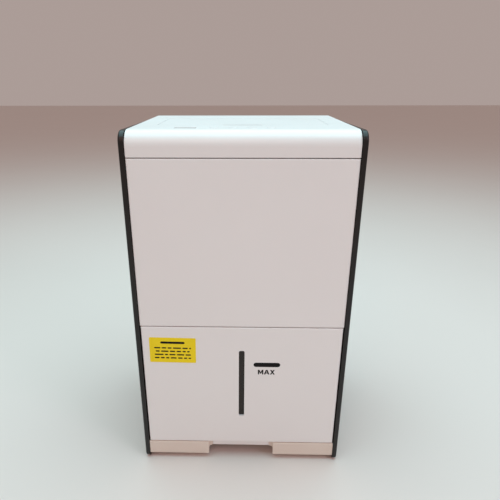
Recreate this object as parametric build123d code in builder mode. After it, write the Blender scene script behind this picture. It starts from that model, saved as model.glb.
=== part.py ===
from build123d import *

import os
from math import cos, radians, sin

# Compressor dehumidifier: an upright white cabinet between two dark side panels, with a pull-out tank.
#
# Frame: millimetres, +Z up, origin on the floor under the middle of the cabinet. The front faces -Y.

os.makedirs("parts", exist_ok=True)

# ---------------------------------------------------------------- driving dimensions
WIDTH = 300.5  # over the side panels
DEPTH = 244.0  # over the side panels
SIDE_TOP = 503.0  # top edge of the side panels
CROWN = 3.5  # rise of the top cover from its front edge to its back edge
SIDE_BOTTOM = 2.0  # the feet hold the side panels this far off the floor
BASE_BOTTOM = 9.0  # underside of the base pan
TANK_SEAM = 33.0  # split line between base and tank front
COVER_SEAM = 237.0  # split line between tank front and front cover
TOP_SEAM = 470.5  # split line between front cover and top cover
SEAM = 1.2  # width of every split line

PANEL = 7.0  # side panel thickness at its rim
PANEL_PROUD = 1.0  # how far the side panels stand out past the white faces
WALL = 2.8  # moulded wall
SIDE_GAP = 0.4  # between a side panel and the covers
STAND_OFF = 0.5  # between what stands inside and the covers
FIT = 0.1  # radial play of a part that is fixed in a hole
CLOSE_FIT = 0.05  # the same where it must sit tightly
TOP_ROUND = 19.0  # big round of the top cover's front edge
REAR_ROUND = 10.0  # round of its rear edge
PANEL_TOP_ROUND = 15.0  # upper front corner of a side panel
PANEL_REAR_ROUND = 9.0  # its upper rear corner
PANEL_FOOT_ROUND = 7.0
EDGE_ROUND = 1.5  # visible panel edges
RIM_ROUND = 2.5  # outer edge of a side panel

FRONT = -DEPTH / 2
REAR = DEPTH / 2
FACE = FRONT + PANEL_PROUD  # plane of the white front faces
BACK = REAR - PANEL_PROUD  # plane of the white rear face
INNER_X = WIDTH / 2 - PANEL  # inner face of a side panel's rim
COVER_X = INNER_X - SIDE_GAP  # half width of the covers
COVER_RETURN = 12.0  # depth of the edge that each cover turns inwards
INSIDE_X = COVER_X - WALL - STAND_OFF  # half width of what stands between the covers' edges

BASE_TOP = TANK_SEAM - SEAM / 2
TANK_BOTTOM = TANK_SEAM + SEAM / 2
TANK_TOP = COVER_SEAM - SEAM / 2
COVER_BOTTOM = COVER_SEAM + SEAM / 2
COVER_TOP = TOP_SEAM - SEAM / 2
LID_BOTTOM = TOP_SEAM + SEAM / 2  # lower edge of the top cover

SHELF_Z = 240.5  # underside of the shelf over the tank bay
SHELF_WALL = 3.0
SHELF_TOP = SHELF_Z + SHELF_WALL
SHELF_INSET = 2.0  # its front edge behind the covers' edges
BAY_BACK = -13.0  # front face of the wall behind the tank

CORNER = (Align.MIN, Align.MIN, Align.MIN)
UPRIGHT = (Align.CENTER, Align.CENTER, Align.MIN)


def block(x, y, z, mode=Mode.ADD):
    """A box in the current part, from its lowest to its highest x, y and z, each a pair."""
    with Locations((x[0], y[0], z[0])):
        Box(x[1] - x[0], y[1] - y[0], z[1] - z[0], align=CORNER, mode=mode)


def post(x, y, z, radius, mode=Mode.ADD):
    """An upright cylinder in the current part, between the two heights in z."""
    with Locations((x, y, z[0])):
        Cylinder(radius, z[1] - z[0], align=UPRIGHT, mode=mode)


def round_y(x, y, z, radius, mode=Mode.ADD):
    """A cylinder along Y in the current part, between the two depths in y."""
    with Locations(Location((x, y[0], z), (-90, 0, 0))):
        Cylinder(radius, y[1] - y[0], align=UPRIGHT, mode=mode)


def round_x(x, y, z, radius, mode=Mode.ADD):
    """A cylinder along X in the current part, between the two places in x."""
    with Locations(Location((x[0], y, z), (0, 90, 0))):
        Cylinder(radius, x[1] - x[0], align=UPRIGHT, mode=mode)


def at_rear(y):
    """The plane at depth y with local x along +X and local y up; it extrudes towards the front."""
    return Plane.XZ.offset(-y)


def top_z(y):
    """Height of the top surface at depth y."""
    return SIDE_TOP + CROWN * (y - FACE) / (BACK - FACE)


def save(builder, name):
    """Labels a finished piece and writes its STEP file."""
    builder.part.label = name
    export_step(builder.part, f"parts/{name}.step")


# ---------------------------------------------------------------- base pan and feet
NOTCH_X = 50.0  # half width of the finger notch
NOTCH_DEEP = 35.0
BAND_BACK = 4.0  # the web corners and the tank's pull lip stand back by this
BAND_THICK = 3.0
BAND_BOTTOM = 23.5
BAND_ROUND = 6.0
LIP_X = NOTCH_X - BAND_ROUND - 0.4  # half width of the tank's pull lip
BASE_WALL = 3.0
BASE_FLOOR = BASE_BOTTOM + BASE_WALL
RAIL_X = 90.0
RAIL_HALF = 5.0
RAIL_TOP = TANK_BOTTOM + WALL - 0.3  # the tank slides on the rails
COMPRESSOR = (60.0, 42.0)
BOLT_CIRCLE = 58.0
BOLT_ANGLES = (45.0, 135.0, 225.0, 315.0)
BOLT_BOSS_TOP = 22.0
BOLT_BOSS = 7.0
BOLT = 2.4
BOLT_HEAD = 5.5
RAIL_FRONT = FACE + 16.0
RAIL_REAR = BAY_BACK - 4.0
FOOT_X = 115.0
FOOT_Y = 94.0
FOOT = 11.0
FOOT_TAPER = 6.0


def bolt_place(angle):
    """Where a compressor bolt stands, in plan."""
    return (
        COMPRESSOR[0] + BOLT_CIRCLE * cos(radians(angle)),
        COMPRESSOR[1] + BOLT_CIRCLE * sin(radians(angle)),
    )


BOLTS = [bolt_place(angle) for angle in BOLT_ANGLES]

with BuildPart() as base_pan:
    block((-COVER_X, COVER_X), (FACE, BACK), (BASE_BOTTOM, BASE_TOP))
    fillet(base_pan.faces().sort_by(Axis.Y)[0].edges().filter_by(Axis.X), EDGE_ROUND)
    block(
        (-COVER_X + BASE_WALL, COVER_X - BASE_WALL),
        (FACE + BASE_WALL, BACK - BASE_WALL),
        (BASE_FLOOR, BASE_TOP),
        Mode.SUBTRACT,
    )
    block(
        (-NOTCH_X - BASE_WALL, NOTCH_X + BASE_WALL),
        (FACE + BASE_WALL, FACE + NOTCH_DEEP + BASE_WALL),
        (BASE_BOTTOM, BASE_TOP),
    )
    block((-NOTCH_X, NOTCH_X), (FACE, FACE + NOTCH_DEEP), (BASE_BOTTOM, BASE_TOP), Mode.SUBTRACT)
    # corner webs of the notch, with their concave rounds
    with BuildSketch(at_rear(FACE + BAND_BACK + BAND_THICK)):
        for side in (-1, 1):
            with Locations((side * (NOTCH_X - BAND_ROUND / 2), (BAND_BOTTOM - BAND_ROUND + BASE_TOP) / 2)):
                Rectangle(BAND_ROUND, BASE_TOP - BAND_BOTTOM + BAND_ROUND)
            with Locations((side * (NOTCH_X - BAND_ROUND), BAND_BOTTOM - BAND_ROUND)):
                Circle(BAND_ROUND, mode=Mode.SUBTRACT)
    extrude(amount=BAND_THICK)
    for side in (-1, 1):
        rail = (side * RAIL_X - RAIL_HALF, side * RAIL_X + RAIL_HALF)
        block(rail, (RAIL_FRONT, RAIL_REAR), (BASE_FLOOR, RAIL_TOP))
    for x, y in BOLTS:
        post(x, y, (BASE_FLOOR, BOLT_BOSS_TOP), BOLT_BOSS)
    for x, y in BOLTS:
        post(x, y, (BASE_FLOOR, BOLT_BOSS_TOP), BOLT + FIT, Mode.SUBTRACT)
save(base_pan, "base_pan")

with BuildPart() as rubber_feet:
    with BuildSketch(Plane.XY.offset(BASE_BOTTOM)):
        with GridLocations(2 * FOOT_X, 2 * FOOT_Y, 2, 2):
            Circle(FOOT)
    extrude(amount=-BASE_BOTTOM, taper=FOOT_TAPER)
    chamfer(rubber_feet.edges().group_by(Axis.Z)[0], 0.8)
save(rubber_feet, "rubber_feet")

# ---------------------------------------------------------------- bay wall and shelf
BAY_WALL = 2.5
DISCHARGE_X = 133.0
CONDENSER_Y = 54.0
SUCTION_X = 128.0
EVAPORATOR_Y = 83.0
SPOUT_Y = -58.0
SHELF_HOLE = 6.5  # for the two pipes and the spout

with BuildPart() as bay_wall:
    block((-INSIDE_X, INSIDE_X), (BAY_BACK, BAY_BACK + BAY_WALL), (BASE_FLOOR, SHELF_Z))
save(bay_wall, "bay_wall")

with BuildPart() as shelf:
    block((-INSIDE_X, INSIDE_X), (FACE + COVER_RETURN + SHELF_INSET, BACK - WALL - STAND_OFF), (SHELF_Z, SHELF_TOP))
    for x, y in ((DISCHARGE_X, CONDENSER_Y), (SUCTION_X, EVAPORATOR_Y), (0.0, SPOUT_Y)):
        post(x, y, (SHELF_Z, SHELF_TOP), SHELF_HOLE, Mode.SUBTRACT)
save(shelf, "shelf")

# ---------------------------------------------------------------- side panels and grip cups
GRIP_Z = 430.0
GRIP_LONG = 96.0
GRIP_HIGH = 26.0
PANEL_SKIN = 3.0
PANEL_RIM = 6.0
GRIP_DEEP = 22.0
GRIP_WALL = 2.2
GRIP_FLANGE = 7.0  # width of the flange round a grip cup
SKIN_X = WIDTH / 2 - PANEL_SKIN  # inner face of a side panel's skin

with BuildPart() as side_panel_right:
    with BuildSketch(Plane.YZ.offset(INNER_X)) as outline:
        with Locations((0, SIDE_BOTTOM)):
            Rectangle(DEPTH, SIDE_TOP - SIDE_BOTTOM, align=(Align.CENTER, Align.MIN))
        fillet(outline.vertices().group_by(Axis.Y)[-1].sort_by(Axis.X)[0], PANEL_TOP_ROUND)
        fillet(outline.vertices().sort_by(Axis.Y)[-1], PANEL_REAR_ROUND)
        fillet(outline.vertices().group_by(Axis.Y)[0], PANEL_FOOT_ROUND)
    extrude(amount=PANEL)
    fillet(side_panel_right.faces().sort_by(Axis.X)[-1].edges(), RIM_ROUND)
    with BuildSketch(Plane.YZ.offset(INNER_X)):
        with Locations((0, SIDE_BOTTOM + PANEL_RIM)):
            inside = Rectangle(
                DEPTH - 2 * PANEL_RIM,
                SIDE_TOP - SIDE_BOTTOM - 2 * PANEL_RIM,
                align=(Align.CENTER, Align.MIN),
            )
        fillet(inside.vertices(), PANEL_RIM)
    extrude(amount=PANEL - PANEL_SKIN, mode=Mode.SUBTRACT)
    with BuildSketch(Plane.YZ.offset(INNER_X)):
        with Locations((0, GRIP_Z)):
            SlotOverall(GRIP_LONG, GRIP_HIGH)
    extrude(amount=PANEL, mode=Mode.SUBTRACT)
save(side_panel_right, "side_panel_right")

with BuildPart() as side_panel_left:
    mirror(side_panel_right.part, about=Plane.YZ)
save(side_panel_left, "side_panel_left")

with BuildPart() as grip_cup_right:
    with BuildSketch(Plane.YZ.offset(SKIN_X)):
        with Locations((0, GRIP_Z)):
            SlotOverall(GRIP_LONG + 2 * GRIP_FLANGE, GRIP_HIGH + 2 * GRIP_FLANGE)
    extrude(amount=-GRIP_WALL)
    with BuildSketch(Plane.YZ.offset(SKIN_X)):
        with Locations((0, GRIP_Z)):
            SlotOverall(GRIP_LONG + 2 * GRIP_WALL, GRIP_HIGH + 2 * GRIP_WALL)
    extrude(amount=-GRIP_DEEP)
    with BuildSketch(Plane.YZ.offset(SKIN_X)):
        with Locations((0, GRIP_Z)):
            SlotOverall(GRIP_LONG, GRIP_HIGH)
    extrude(amount=-GRIP_DEEP + GRIP_WALL, mode=Mode.SUBTRACT)
save(grip_cup_right, "grip_cup_right")

with BuildPart() as grip_cup_left:
    mirror(grip_cup_right.part, about=Plane.YZ)
save(grip_cup_left, "grip_cup_left")

# ---------------------------------------------------------------- front cover
RIB = 2.0
RIB_DEEP = 9.0

with BuildPart() as front_cover:
    block((-COVER_X, COVER_X), (FACE, FACE + COVER_RETURN), (COVER_BOTTOM, COVER_TOP))
    fillet(front_cover.faces().sort_by(Axis.Y)[0].edges(), EDGE_ROUND)
    block(
        (-COVER_X + WALL, COVER_X - WALL),
        (FACE + WALL, FACE + COVER_RETURN),
        (COVER_BOTTOM + WALL, COVER_TOP - WALL),
        Mode.SUBTRACT,
    )
    for x in (-COVER_X / 3, COVER_X / 3):
        rib = (x - RIB / 2, x + RIB / 2)
        block(rib, (FACE + WALL, FACE + RIB_DEEP), (COVER_BOTTOM + WALL, COVER_TOP - WALL))
save(front_cover, "front_cover")

# ---------------------------------------------------------------- rear cover and its screws
INLET_X = 110.0
INLET_Z = (282.0, 452.0)
PORT = (-98.0, 258.0)  # drain port, x and z
PORT_HOLE = 15.0
GLAND = (104.0, 62.0)  # cord gland, x and z
GLAND_BARREL = 7.0
GLAND_LONG = 19.0
GLAND_COLLAR = 10.5
CORD_HOLE = 3.6
VENT = (-30.0, 146.0)  # middle of the cooling slots, x and z
VENT_LONG = 110.0
VENT_HIGH = 4.2
VENT_PITCH = 11.0
VENTS = 9
SCREWS = [(side * 124.0, z) for side in (-1, 1) for z in (58.0, 225.0, 460.0)]
SCREW_BOSS = 6.2
BOSS_DEEP = 10.0
HEAD_SEAT = 1.6
HEAD = 3.9
THREAD = 2.0
CROSS_LONG = 4.4
CROSS_WIDE = 1.0
CROSS_DEEP = 1.0

with BuildPart() as rear_cover:
    block((-COVER_X, COVER_X), (BACK - COVER_RETURN, BACK), (TANK_BOTTOM, COVER_TOP))
    fillet(rear_cover.faces().sort_by(Axis.Y)[-1].edges(), EDGE_ROUND)
    block(
        (-COVER_X + WALL, COVER_X - WALL),
        (BACK - COVER_RETURN, BACK - WALL),
        (TANK_BOTTOM + WALL, COVER_TOP - WALL),
        Mode.SUBTRACT,
    )
    for x, z in SCREWS:
        round_y(x, (BACK - BOSS_DEEP, BACK - WALL), z, SCREW_BOSS)
    with BuildSketch(at_rear(BACK)):
        with Locations((0, sum(INLET_Z) / 2)):
            RectangleRounded(2 * INLET_X, INLET_Z[1] - INLET_Z[0], 6)
        with Locations(PORT):
            Circle(PORT_HOLE)
        with Locations(GLAND):
            Circle(GLAND_BARREL + FIT)
        # cooling slots for the compressor space
        with Locations(VENT), GridLocations(0, VENT_PITCH, 1, VENTS):
            SlotOverall(VENT_LONG, VENT_HIGH)
    extrude(amount=WALL, mode=Mode.SUBTRACT)
    for x, z in SCREWS:
        round_y(x, (BACK - HEAD_SEAT, BACK), z, HEAD + 0.3, Mode.SUBTRACT)
        round_y(x, (BACK - BOSS_DEEP, BACK), z, THREAD + FIT, Mode.SUBTRACT)
save(rear_cover, "rear_cover")

with BuildPart() as rear_screws:
    for x, z in SCREWS:
        round_y(x, (BACK - HEAD_SEAT, BACK - 0.1), z, HEAD)
        round_y(x, (BACK - BOSS_DEEP, BACK - HEAD_SEAT), z, THREAD)
    for x, z in SCREWS:
        for wide, high in ((CROSS_LONG, CROSS_WIDE), (CROSS_WIDE, CROSS_LONG)):
            across = (x - wide / 2, x + wide / 2)
            block(across, (BACK - CROSS_DEEP, BACK), (z - high / 2, z + high / 2), Mode.SUBTRACT)
save(rear_screws, "rear_screws")

with BuildPart() as cord_gland:
    round_y(GLAND[0], (BACK - GLAND_LONG, BACK), GLAND[1], GLAND_BARREL)
    round_y(GLAND[0], (BACK - 2 * WALL, BACK - WALL), GLAND[1], GLAND_COLLAR)
    round_y(GLAND[0], (BACK - GLAND_LONG, BACK), GLAND[1], CORD_HOLE, Mode.SUBTRACT)
save(cord_gland, "cord_gland")

# ---------------------------------------------------------------- top cover, controls and outlet
FLAP_X = 113.0
FLAP_FRONT = FACE + 69.0
FLAP_LONG = 96.0  # from the front edge to the hinge
HINGE_Y = FLAP_FRONT + FLAP_LONG
FLAP_THICK = 2.6
BARREL = 3.0
PIN = 1.5
PIN_LONG = 4.0
PIN_PLAY = 0.06
CHEEK = 5.0  # thickness of the cheeks that hold the pins
CHEEK_HALF = 6.0
LID_EDGE = 1.0  # round of the top cover's side edges
ABOVE = 10.0  # cuts in the top reach this far above and below it
FLAP_GAP = 0.7
HINGE_Z = top_z(HINGE_Y) - BARREL
PULL_X = 26.0  # half width of the finger notch at the flap's front edge
PULL_DEEP = 3.0
BUTTON_Y = FACE + 31.0
BUTTON_X = (-36.0, -12.0, 12.0, 36.0)
BUTTON_R = 5.5
BUTTON_GAP = 0.35
TRAVEL = 1.2
DISPLAY_X = (-86.0, -58.0)
DISPLAY_HALF = 6.5
BUTTON_SKIN = top_z(BUTTON_Y)


def cover_points(inset):
    """Corners of the top cover's side outline, set in by a wall, in depth and height."""
    return [
        (FACE + inset, LID_BOTTOM),
        (FACE + inset, top_z(FACE) - inset),
        (BACK - inset, top_z(BACK) - inset),
        (BACK - inset, LID_BOTTOM),
    ]


with BuildPart() as top_cover:
    with BuildSketch(Plane.YZ.offset(-COVER_X)) as skin:
        with BuildLine():
            Polyline(*cover_points(0), close=True)
        make_face()
        fillet(skin.vertices().sort_by(Axis.Y)[-2], TOP_ROUND)
        fillet(skin.vertices().sort_by(Axis.Y)[-1], REAR_ROUND)
    extrude(amount=2 * COVER_X)
    fillet(top_cover.faces().filter_by(Axis.X).edges(), LID_EDGE)
    with BuildSketch(Plane.YZ.offset(-COVER_X + WALL)) as hollow:
        with BuildLine():
            Polyline(*cover_points(WALL), close=True)
        make_face()
        fillet(hollow.vertices().sort_by(Axis.Y)[-2], TOP_ROUND - WALL)
        fillet(hollow.vertices().sort_by(Axis.Y)[-1], REAR_ROUND - WALL)
    extrude(amount=2 * (COVER_X - WALL), mode=Mode.SUBTRACT)
    # cheeks that hold the flap's pins
    for side in (-1, 1):
        inner = FLAP_X + FLAP_GAP
        cheek = sorted((side * inner, side * (inner + CHEEK)))
        high = (HINGE_Z - CHEEK_HALF - 1, HINGE_Z + BARREL - 1)
        block(cheek, (HINGE_Y - CHEEK_HALF, HINGE_Y + CHEEK_HALF), high)
    pin_end = FLAP_X + PIN_LONG + 0.5
    round_x((-pin_end, pin_end), HINGE_Y, HINGE_Z, PIN + PIN_PLAY, Mode.SUBTRACT)
    # outlet opening with the finger notch at its front edge
    block(
        (-FLAP_X - FLAP_GAP, FLAP_X + FLAP_GAP),
        (FLAP_FRONT - FLAP_GAP, HINGE_Y + BARREL + FLAP_GAP),
        (SIDE_TOP - 2 * ABOVE, SIDE_TOP + ABOVE),
        Mode.SUBTRACT,
    )
    block(
        (-PULL_X, PULL_X),
        (FLAP_FRONT - FLAP_GAP - PULL_DEEP, FLAP_FRONT),
        (SIDE_TOP - ABOVE, SIDE_TOP + ABOVE),
        Mode.SUBTRACT,
    )
    for x in BUTTON_X:
        post(x, BUTTON_Y, (SIDE_TOP - ABOVE, SIDE_TOP + ABOVE), BUTTON_R + BUTTON_GAP, Mode.SUBTRACT)
    block(
        DISPLAY_X,
        (BUTTON_Y - DISPLAY_HALF, BUTTON_Y + DISPLAY_HALF),
        (SIDE_TOP - ABOVE, SIDE_TOP + ABOVE),
        Mode.SUBTRACT,
    )
save(top_cover, "top_cover")

with BuildPart() as outlet_flap:
    with BuildSketch(Plane.YZ.offset(-FLAP_X)):
        with BuildLine():
            Polyline(
                (FLAP_FRONT, top_z(FLAP_FRONT)),
                (HINGE_Y, top_z(HINGE_Y)),
                (HINGE_Y, top_z(HINGE_Y) - FLAP_THICK),
                (FLAP_FRONT, top_z(FLAP_FRONT) - FLAP_THICK),
                close=True,
            )
        make_face()
        with Locations((HINGE_Y, HINGE_Z)):
            Circle(BARREL)
    extrude(amount=2 * FLAP_X)
    round_x((-FLAP_X - PIN_LONG, FLAP_X + PIN_LONG), HINGE_Y, HINGE_Z, PIN)
save(outlet_flap, "outlet_flap")

LOUVRE_Z = (SIDE_TOP - 15.0, SIDE_TOP - 7.0)
LOUVRE_Y = (FLAP_FRONT + 1, HINGE_Y - 7)
LOUVRE_X = FLAP_X - 0.5
BLADES = 9
BLADE = 1.6
FRAME = 2.5

with BuildPart() as outlet_louvre:
    block((-LOUVRE_X, LOUVRE_X), LOUVRE_Y, LOUVRE_Z)
    block(
        (-LOUVRE_X + FRAME, LOUVRE_X - FRAME),
        (LOUVRE_Y[0] + FRAME, LOUVRE_Y[1] - FRAME),
        LOUVRE_Z,
        Mode.SUBTRACT,
    )
    pitch = (LOUVRE_Y[1] - LOUVRE_Y[0]) / (BLADES + 1)
    for i in range(1, BLADES + 1):
        y = LOUVRE_Y[0] + i * pitch
        block((-LOUVRE_X + 1, LOUVRE_X - 1), (y - BLADE / 2, y + BLADE / 2), LOUVRE_Z)
    for x in (-LOUVRE_X / 3, LOUVRE_X / 3):
        block((x - BLADE / 2, x + BLADE / 2), (LOUVRE_Y[0] + 1, LOUVRE_Y[1] - 1), LOUVRE_Z)
save(outlet_louvre, "outlet_louvre")

LENS_GAP = 0.1

with BuildPart() as display_lens:
    block(
        (DISPLAY_X[0] + LENS_GAP, DISPLAY_X[1] - LENS_GAP),
        (BUTTON_Y - DISPLAY_HALF + LENS_GAP, BUTTON_Y + DISPLAY_HALF - LENS_GAP),
        (BUTTON_SKIN - WALL, BUTTON_SKIN - LENS_GAP),
    )
save(display_lens, "display_lens")

BUTTON_RISE = 0.5
BUTTON_RIM = 2.0  # the flange that keeps a button in
RIM_TOP = BUTTON_SKIN - WALL - 0.3
RIM_BOTTOM = RIM_TOP - 1.2
STEM = 2.0
STEM_BOTTOM = RIM_BOTTOM - 4.0
SWITCH_TOP = STEM_BOTTOM - TRAVEL - 0.2
SWITCH_HIGH = 3.5
SWITCH_HALF = 3.0
BOARD = 1.6  # thickness of a circuit board
BOARD_X = (-92.0, 50.0)
BOARD_HALF = 13.0
BOARD_TOP = SWITCH_TOP - SWITCH_HIGH
DIGITS = 5.0  # half depth of the digit block under the display

with BuildPart() as control_board:
    block(BOARD_X, (BUTTON_Y - BOARD_HALF, BUTTON_Y + BOARD_HALF), (BOARD_TOP - BOARD, BOARD_TOP))
    for x in BUTTON_X:
        switch = (x - SWITCH_HALF, x + SWITCH_HALF)
        block(switch, (BUTTON_Y - SWITCH_HALF, BUTTON_Y + SWITCH_HALF), (BOARD_TOP, SWITCH_TOP))
    digits = (DISPLAY_X[0] + 2, DISPLAY_X[1] - 2)
    block(digits, (BUTTON_Y - DIGITS, BUTTON_Y + DIGITS), (BOARD_TOP, SWITCH_TOP))
save(control_board, "control_board")

for number, x in enumerate(BUTTON_X, start=1):
    with BuildPart() as button:
        post(x, BUTTON_Y, (RIM_BOTTOM, BUTTON_SKIN + BUTTON_RISE), BUTTON_R)
        fillet(button.edges().group_by(Axis.Z)[-1], 0.6)
        post(x, BUTTON_Y, (RIM_BOTTOM, RIM_TOP), BUTTON_R + BUTTON_RIM)
        post(x, BUTTON_Y, (STEM_BOTTOM, RIM_TOP), STEM)
    save(button, f"button_{number}")

# ---------------------------------------------------------------- air filter
RING = 8.0
FIT = 0.4
FILTER_X = INLET_X - FIT
FILTER_Z = (INLET_Z[0] + FIT, INLET_Z[1] - FIT)
FILTER_Y = (BACK - 7.5, BACK - 0.4)
MESH_Y = (FILTER_Y[0] + 1.0, FILTER_Y[0] + 2.0)
SLATS = 16
SLAT = 2.2
SPINE = 3.0

with BuildPart() as filter_frame:
    with BuildSketch(at_rear(FILTER_Y[1])):
        with Locations((0, sum(FILTER_Z) / 2)):
            RectangleRounded(2 * FILTER_X, FILTER_Z[1] - FILTER_Z[0], 5.6)
            Rectangle(
                2 * (FILTER_X - RING), FILTER_Z[1] - FILTER_Z[0] - 2 * RING, mode=Mode.SUBTRACT
            )
    extrude(amount=FILTER_Y[1] - FILTER_Y[0])
    pitch = (FILTER_Z[1] - FILTER_Z[0] - 2 * RING) / (SLATS + 1)
    for i in range(1, SLATS + 1):
        z = FILTER_Z[0] + RING + i * pitch
        slat = (z - SLAT / 2, z + SLAT / 2)
        block((-FILTER_X + RING / 2, FILTER_X - RING / 2), (MESH_Y[1], FILTER_Y[1] - 0.8), slat)
    for x in (-FILTER_X / 3, FILTER_X / 3):
        high = (FILTER_Z[0] + RING / 2, FILTER_Z[1] - RING / 2)
        block((x - SPINE / 2, x + SPINE / 2), (MESH_Y[1], FILTER_Y[1] - 1.2), high)
save(filter_frame, "filter_frame")

with BuildPart() as filter_mesh:
    block(
        (-FILTER_X + RING, FILTER_X - RING),
        MESH_Y,
        (FILTER_Z[0] + RING, FILTER_Z[1] - RING),
    )
save(filter_mesh, "filter_mesh")

# ---------------------------------------------------------------- evaporator and condenser
COIL_X = 105.0
COIL_Z = (286.0, 448.0)
ROWS = 8
ROW_PITCH = 20.0
ROW_LOW = 297.0
BEND_X = 115.0
TUBE = 3.5
COIL_HALF = 11.0
FIN_PITCH = 8.0  # the fins are drawn coarse; real ones stand four times as close
FIN = 2.0
FIN_SPINE = 1.6  # the strip that joins the fins along their rear edge


def serpentine(y):
    """Corners of a coil's tube in the plane y, from its lower end to its upper end on the right."""
    points = []
    for row in range(ROWS):
        z = ROW_LOW + row * ROW_PITCH
        ends = (BEND_X, -BEND_X) if row % 2 == 0 else (-BEND_X, BEND_X)
        points += [(ends[0], y, z), (ends[1], y, z)]
    return points[1:-1]


ROW_HIGH = ROW_LOW + (ROWS - 1) * ROW_PITCH
PORT_X = 116.0  # where the pipes meet the coils' ends

for name, y in (("evaporator", EVAPORATOR_Y), ("condenser", CONDENSER_Y)):
    with BuildPart() as fins:
        block((-COIL_X, COIL_X), (y - COIL_HALF, y + COIL_HALF), COIL_Z)
        for gap in range(round((2 * COIL_X - FIN) / FIN_PITCH)):
            x = -COIL_X + FIN + gap * FIN_PITCH
            between = (x, x + FIN_PITCH - FIN)
            block(between, (y - COIL_HALF, y + COIL_HALF - FIN_SPINE), COIL_Z, Mode.SUBTRACT)
        for row in range(ROWS):
            round_x((-COIL_X, COIL_X), y, ROW_LOW + row * ROW_PITCH, TUBE + CLOSE_FIT, Mode.SUBTRACT)
    save(fins, f"{name}_fins")
    with BuildPart() as tube:
        corners = serpentine(y)
        with BuildLine() as route:
            FilletPolyline(
                (PORT_X, y, ROW_LOW), *corners, (PORT_X, y, ROW_HIGH), radius=ROW_PITCH / 2 - 0.3
            )
        with BuildSketch(Plane(origin=(PORT_X, y, ROW_LOW), z_dir=(-1, 0, 0))):
            Circle(TUBE)
        sweep(path=route.line)
    save(tube, f"{name}_tube")

# ---------------------------------------------------------------- drip tray, spigot and plug
TRAY_X = 114.0
TRAY_Y = (38.0, 95.0)
TRAY_Z = (SHELF_TOP + 2.5, 276.0)
CHANNEL_X = 13.0
CHANNEL_TOP = 262.0
TRAY_WALL = 2.0
SPIGOT = 7.5
SPIGOT_BORE = 5.2
SPIGOT_END = BACK - 0.5
SPIGOT_FLANGE = 11.5
SPIGOT_FOOT = 2.0
SPOUT = 6.0
SPOUT_BORE = 4.5
SPOUT_LOW = SHELF_Z - 2.0
PLUG_HEAD = 6.8

with BuildPart() as drip_tray:
    block((-TRAY_X, TRAY_X), TRAY_Y, TRAY_Z)
    block((-CHANNEL_X, CHANNEL_X), (SPOUT_Y - 12, TRAY_Y[0] + 3), (TRAY_Z[0], CHANNEL_TOP))
    block(
        (-TRAY_X + TRAY_WALL, TRAY_X - TRAY_WALL),
        (TRAY_Y[0] + TRAY_WALL, TRAY_Y[1] - TRAY_WALL),
        (TRAY_Z[0] + TRAY_WALL, TRAY_Z[1]),
        Mode.SUBTRACT,
    )
    block(
        (-CHANNEL_X + TRAY_WALL, CHANNEL_X - TRAY_WALL),
        (SPOUT_Y - 10, TRAY_Y[0] + 3),
        (TRAY_Z[0] + TRAY_WALL, CHANNEL_TOP),
        Mode.SUBTRACT,
    )
    post(0, SPOUT_Y, (SPOUT_LOW, TRAY_Z[0] + TRAY_WALL), SPOUT)
    post(0, SPOUT_Y, (SPOUT_LOW, TRAY_Z[0] + TRAY_WALL), SPOUT_BORE, Mode.SUBTRACT)
    round_y(PORT[0], (TRAY_Y[1] - TRAY_WALL, TRAY_Y[1]), PORT[1], SPIGOT_BORE, Mode.SUBTRACT)
save(drip_tray, "drip_tray")

with BuildPart() as drain_spigot:
    round_y(PORT[0], (TRAY_Y[1], TRAY_Y[1] + SPIGOT_FOOT), PORT[1], SPIGOT_FLANGE)
    round_y(PORT[0], (TRAY_Y[1], SPIGOT_END), PORT[1], SPIGOT)
    round_y(PORT[0], (TRAY_Y[1], SPIGOT_END), PORT[1], SPIGOT_BORE, Mode.SUBTRACT)
save(drain_spigot, "drain_spigot")

with BuildPart() as drain_plug:
    round_y(PORT[0], (TRAY_Y[1] + SPIGOT_FOOT, SPIGOT_END + 0.3), PORT[1], SPIGOT_BORE - 0.3)
    round_y(PORT[0], (SPIGOT_END + 0.3, REAR), PORT[1], PLUG_HEAD)
save(drain_plug, "drain_plug")

# ---------------------------------------------------------------- fan, scroll and motor
FAN_Z = 362.0
WHEEL = 72.0
WHEEL_Y = (-2.0, 32.0)
SCROLL = 92.0
SCROLL_Y = (-8.0, 36.0)
SCROLL_WALL = 2.5
DUCT_TOP = 480.0
DUCT_LEFT = -20.0
MOTOR = 36.0
MOTOR_Y = (-54.0, -12.0)
MOTOR_ROUND = 5.0
SHAFT = 4.0
BLADE_COUNT = 28
BLADE_DEEP = 11.0
BLADE_RING = WHEEL - 7.0  # radius of the blades' middles
BLADE_THICK = 1.2
BLADE_TURN = 35.0
HUB = 11.0
HUB_LONG = 20.0
DISC = 2.0
INLET = 58.0
INLET_LIP = 68.0
INLET_WALL = 3.8
RING_PROUD = 1.5
SHAFT_HOLE = 12.0
BRACKET = (28.0, 54.0)  # inner and outer radius

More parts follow.
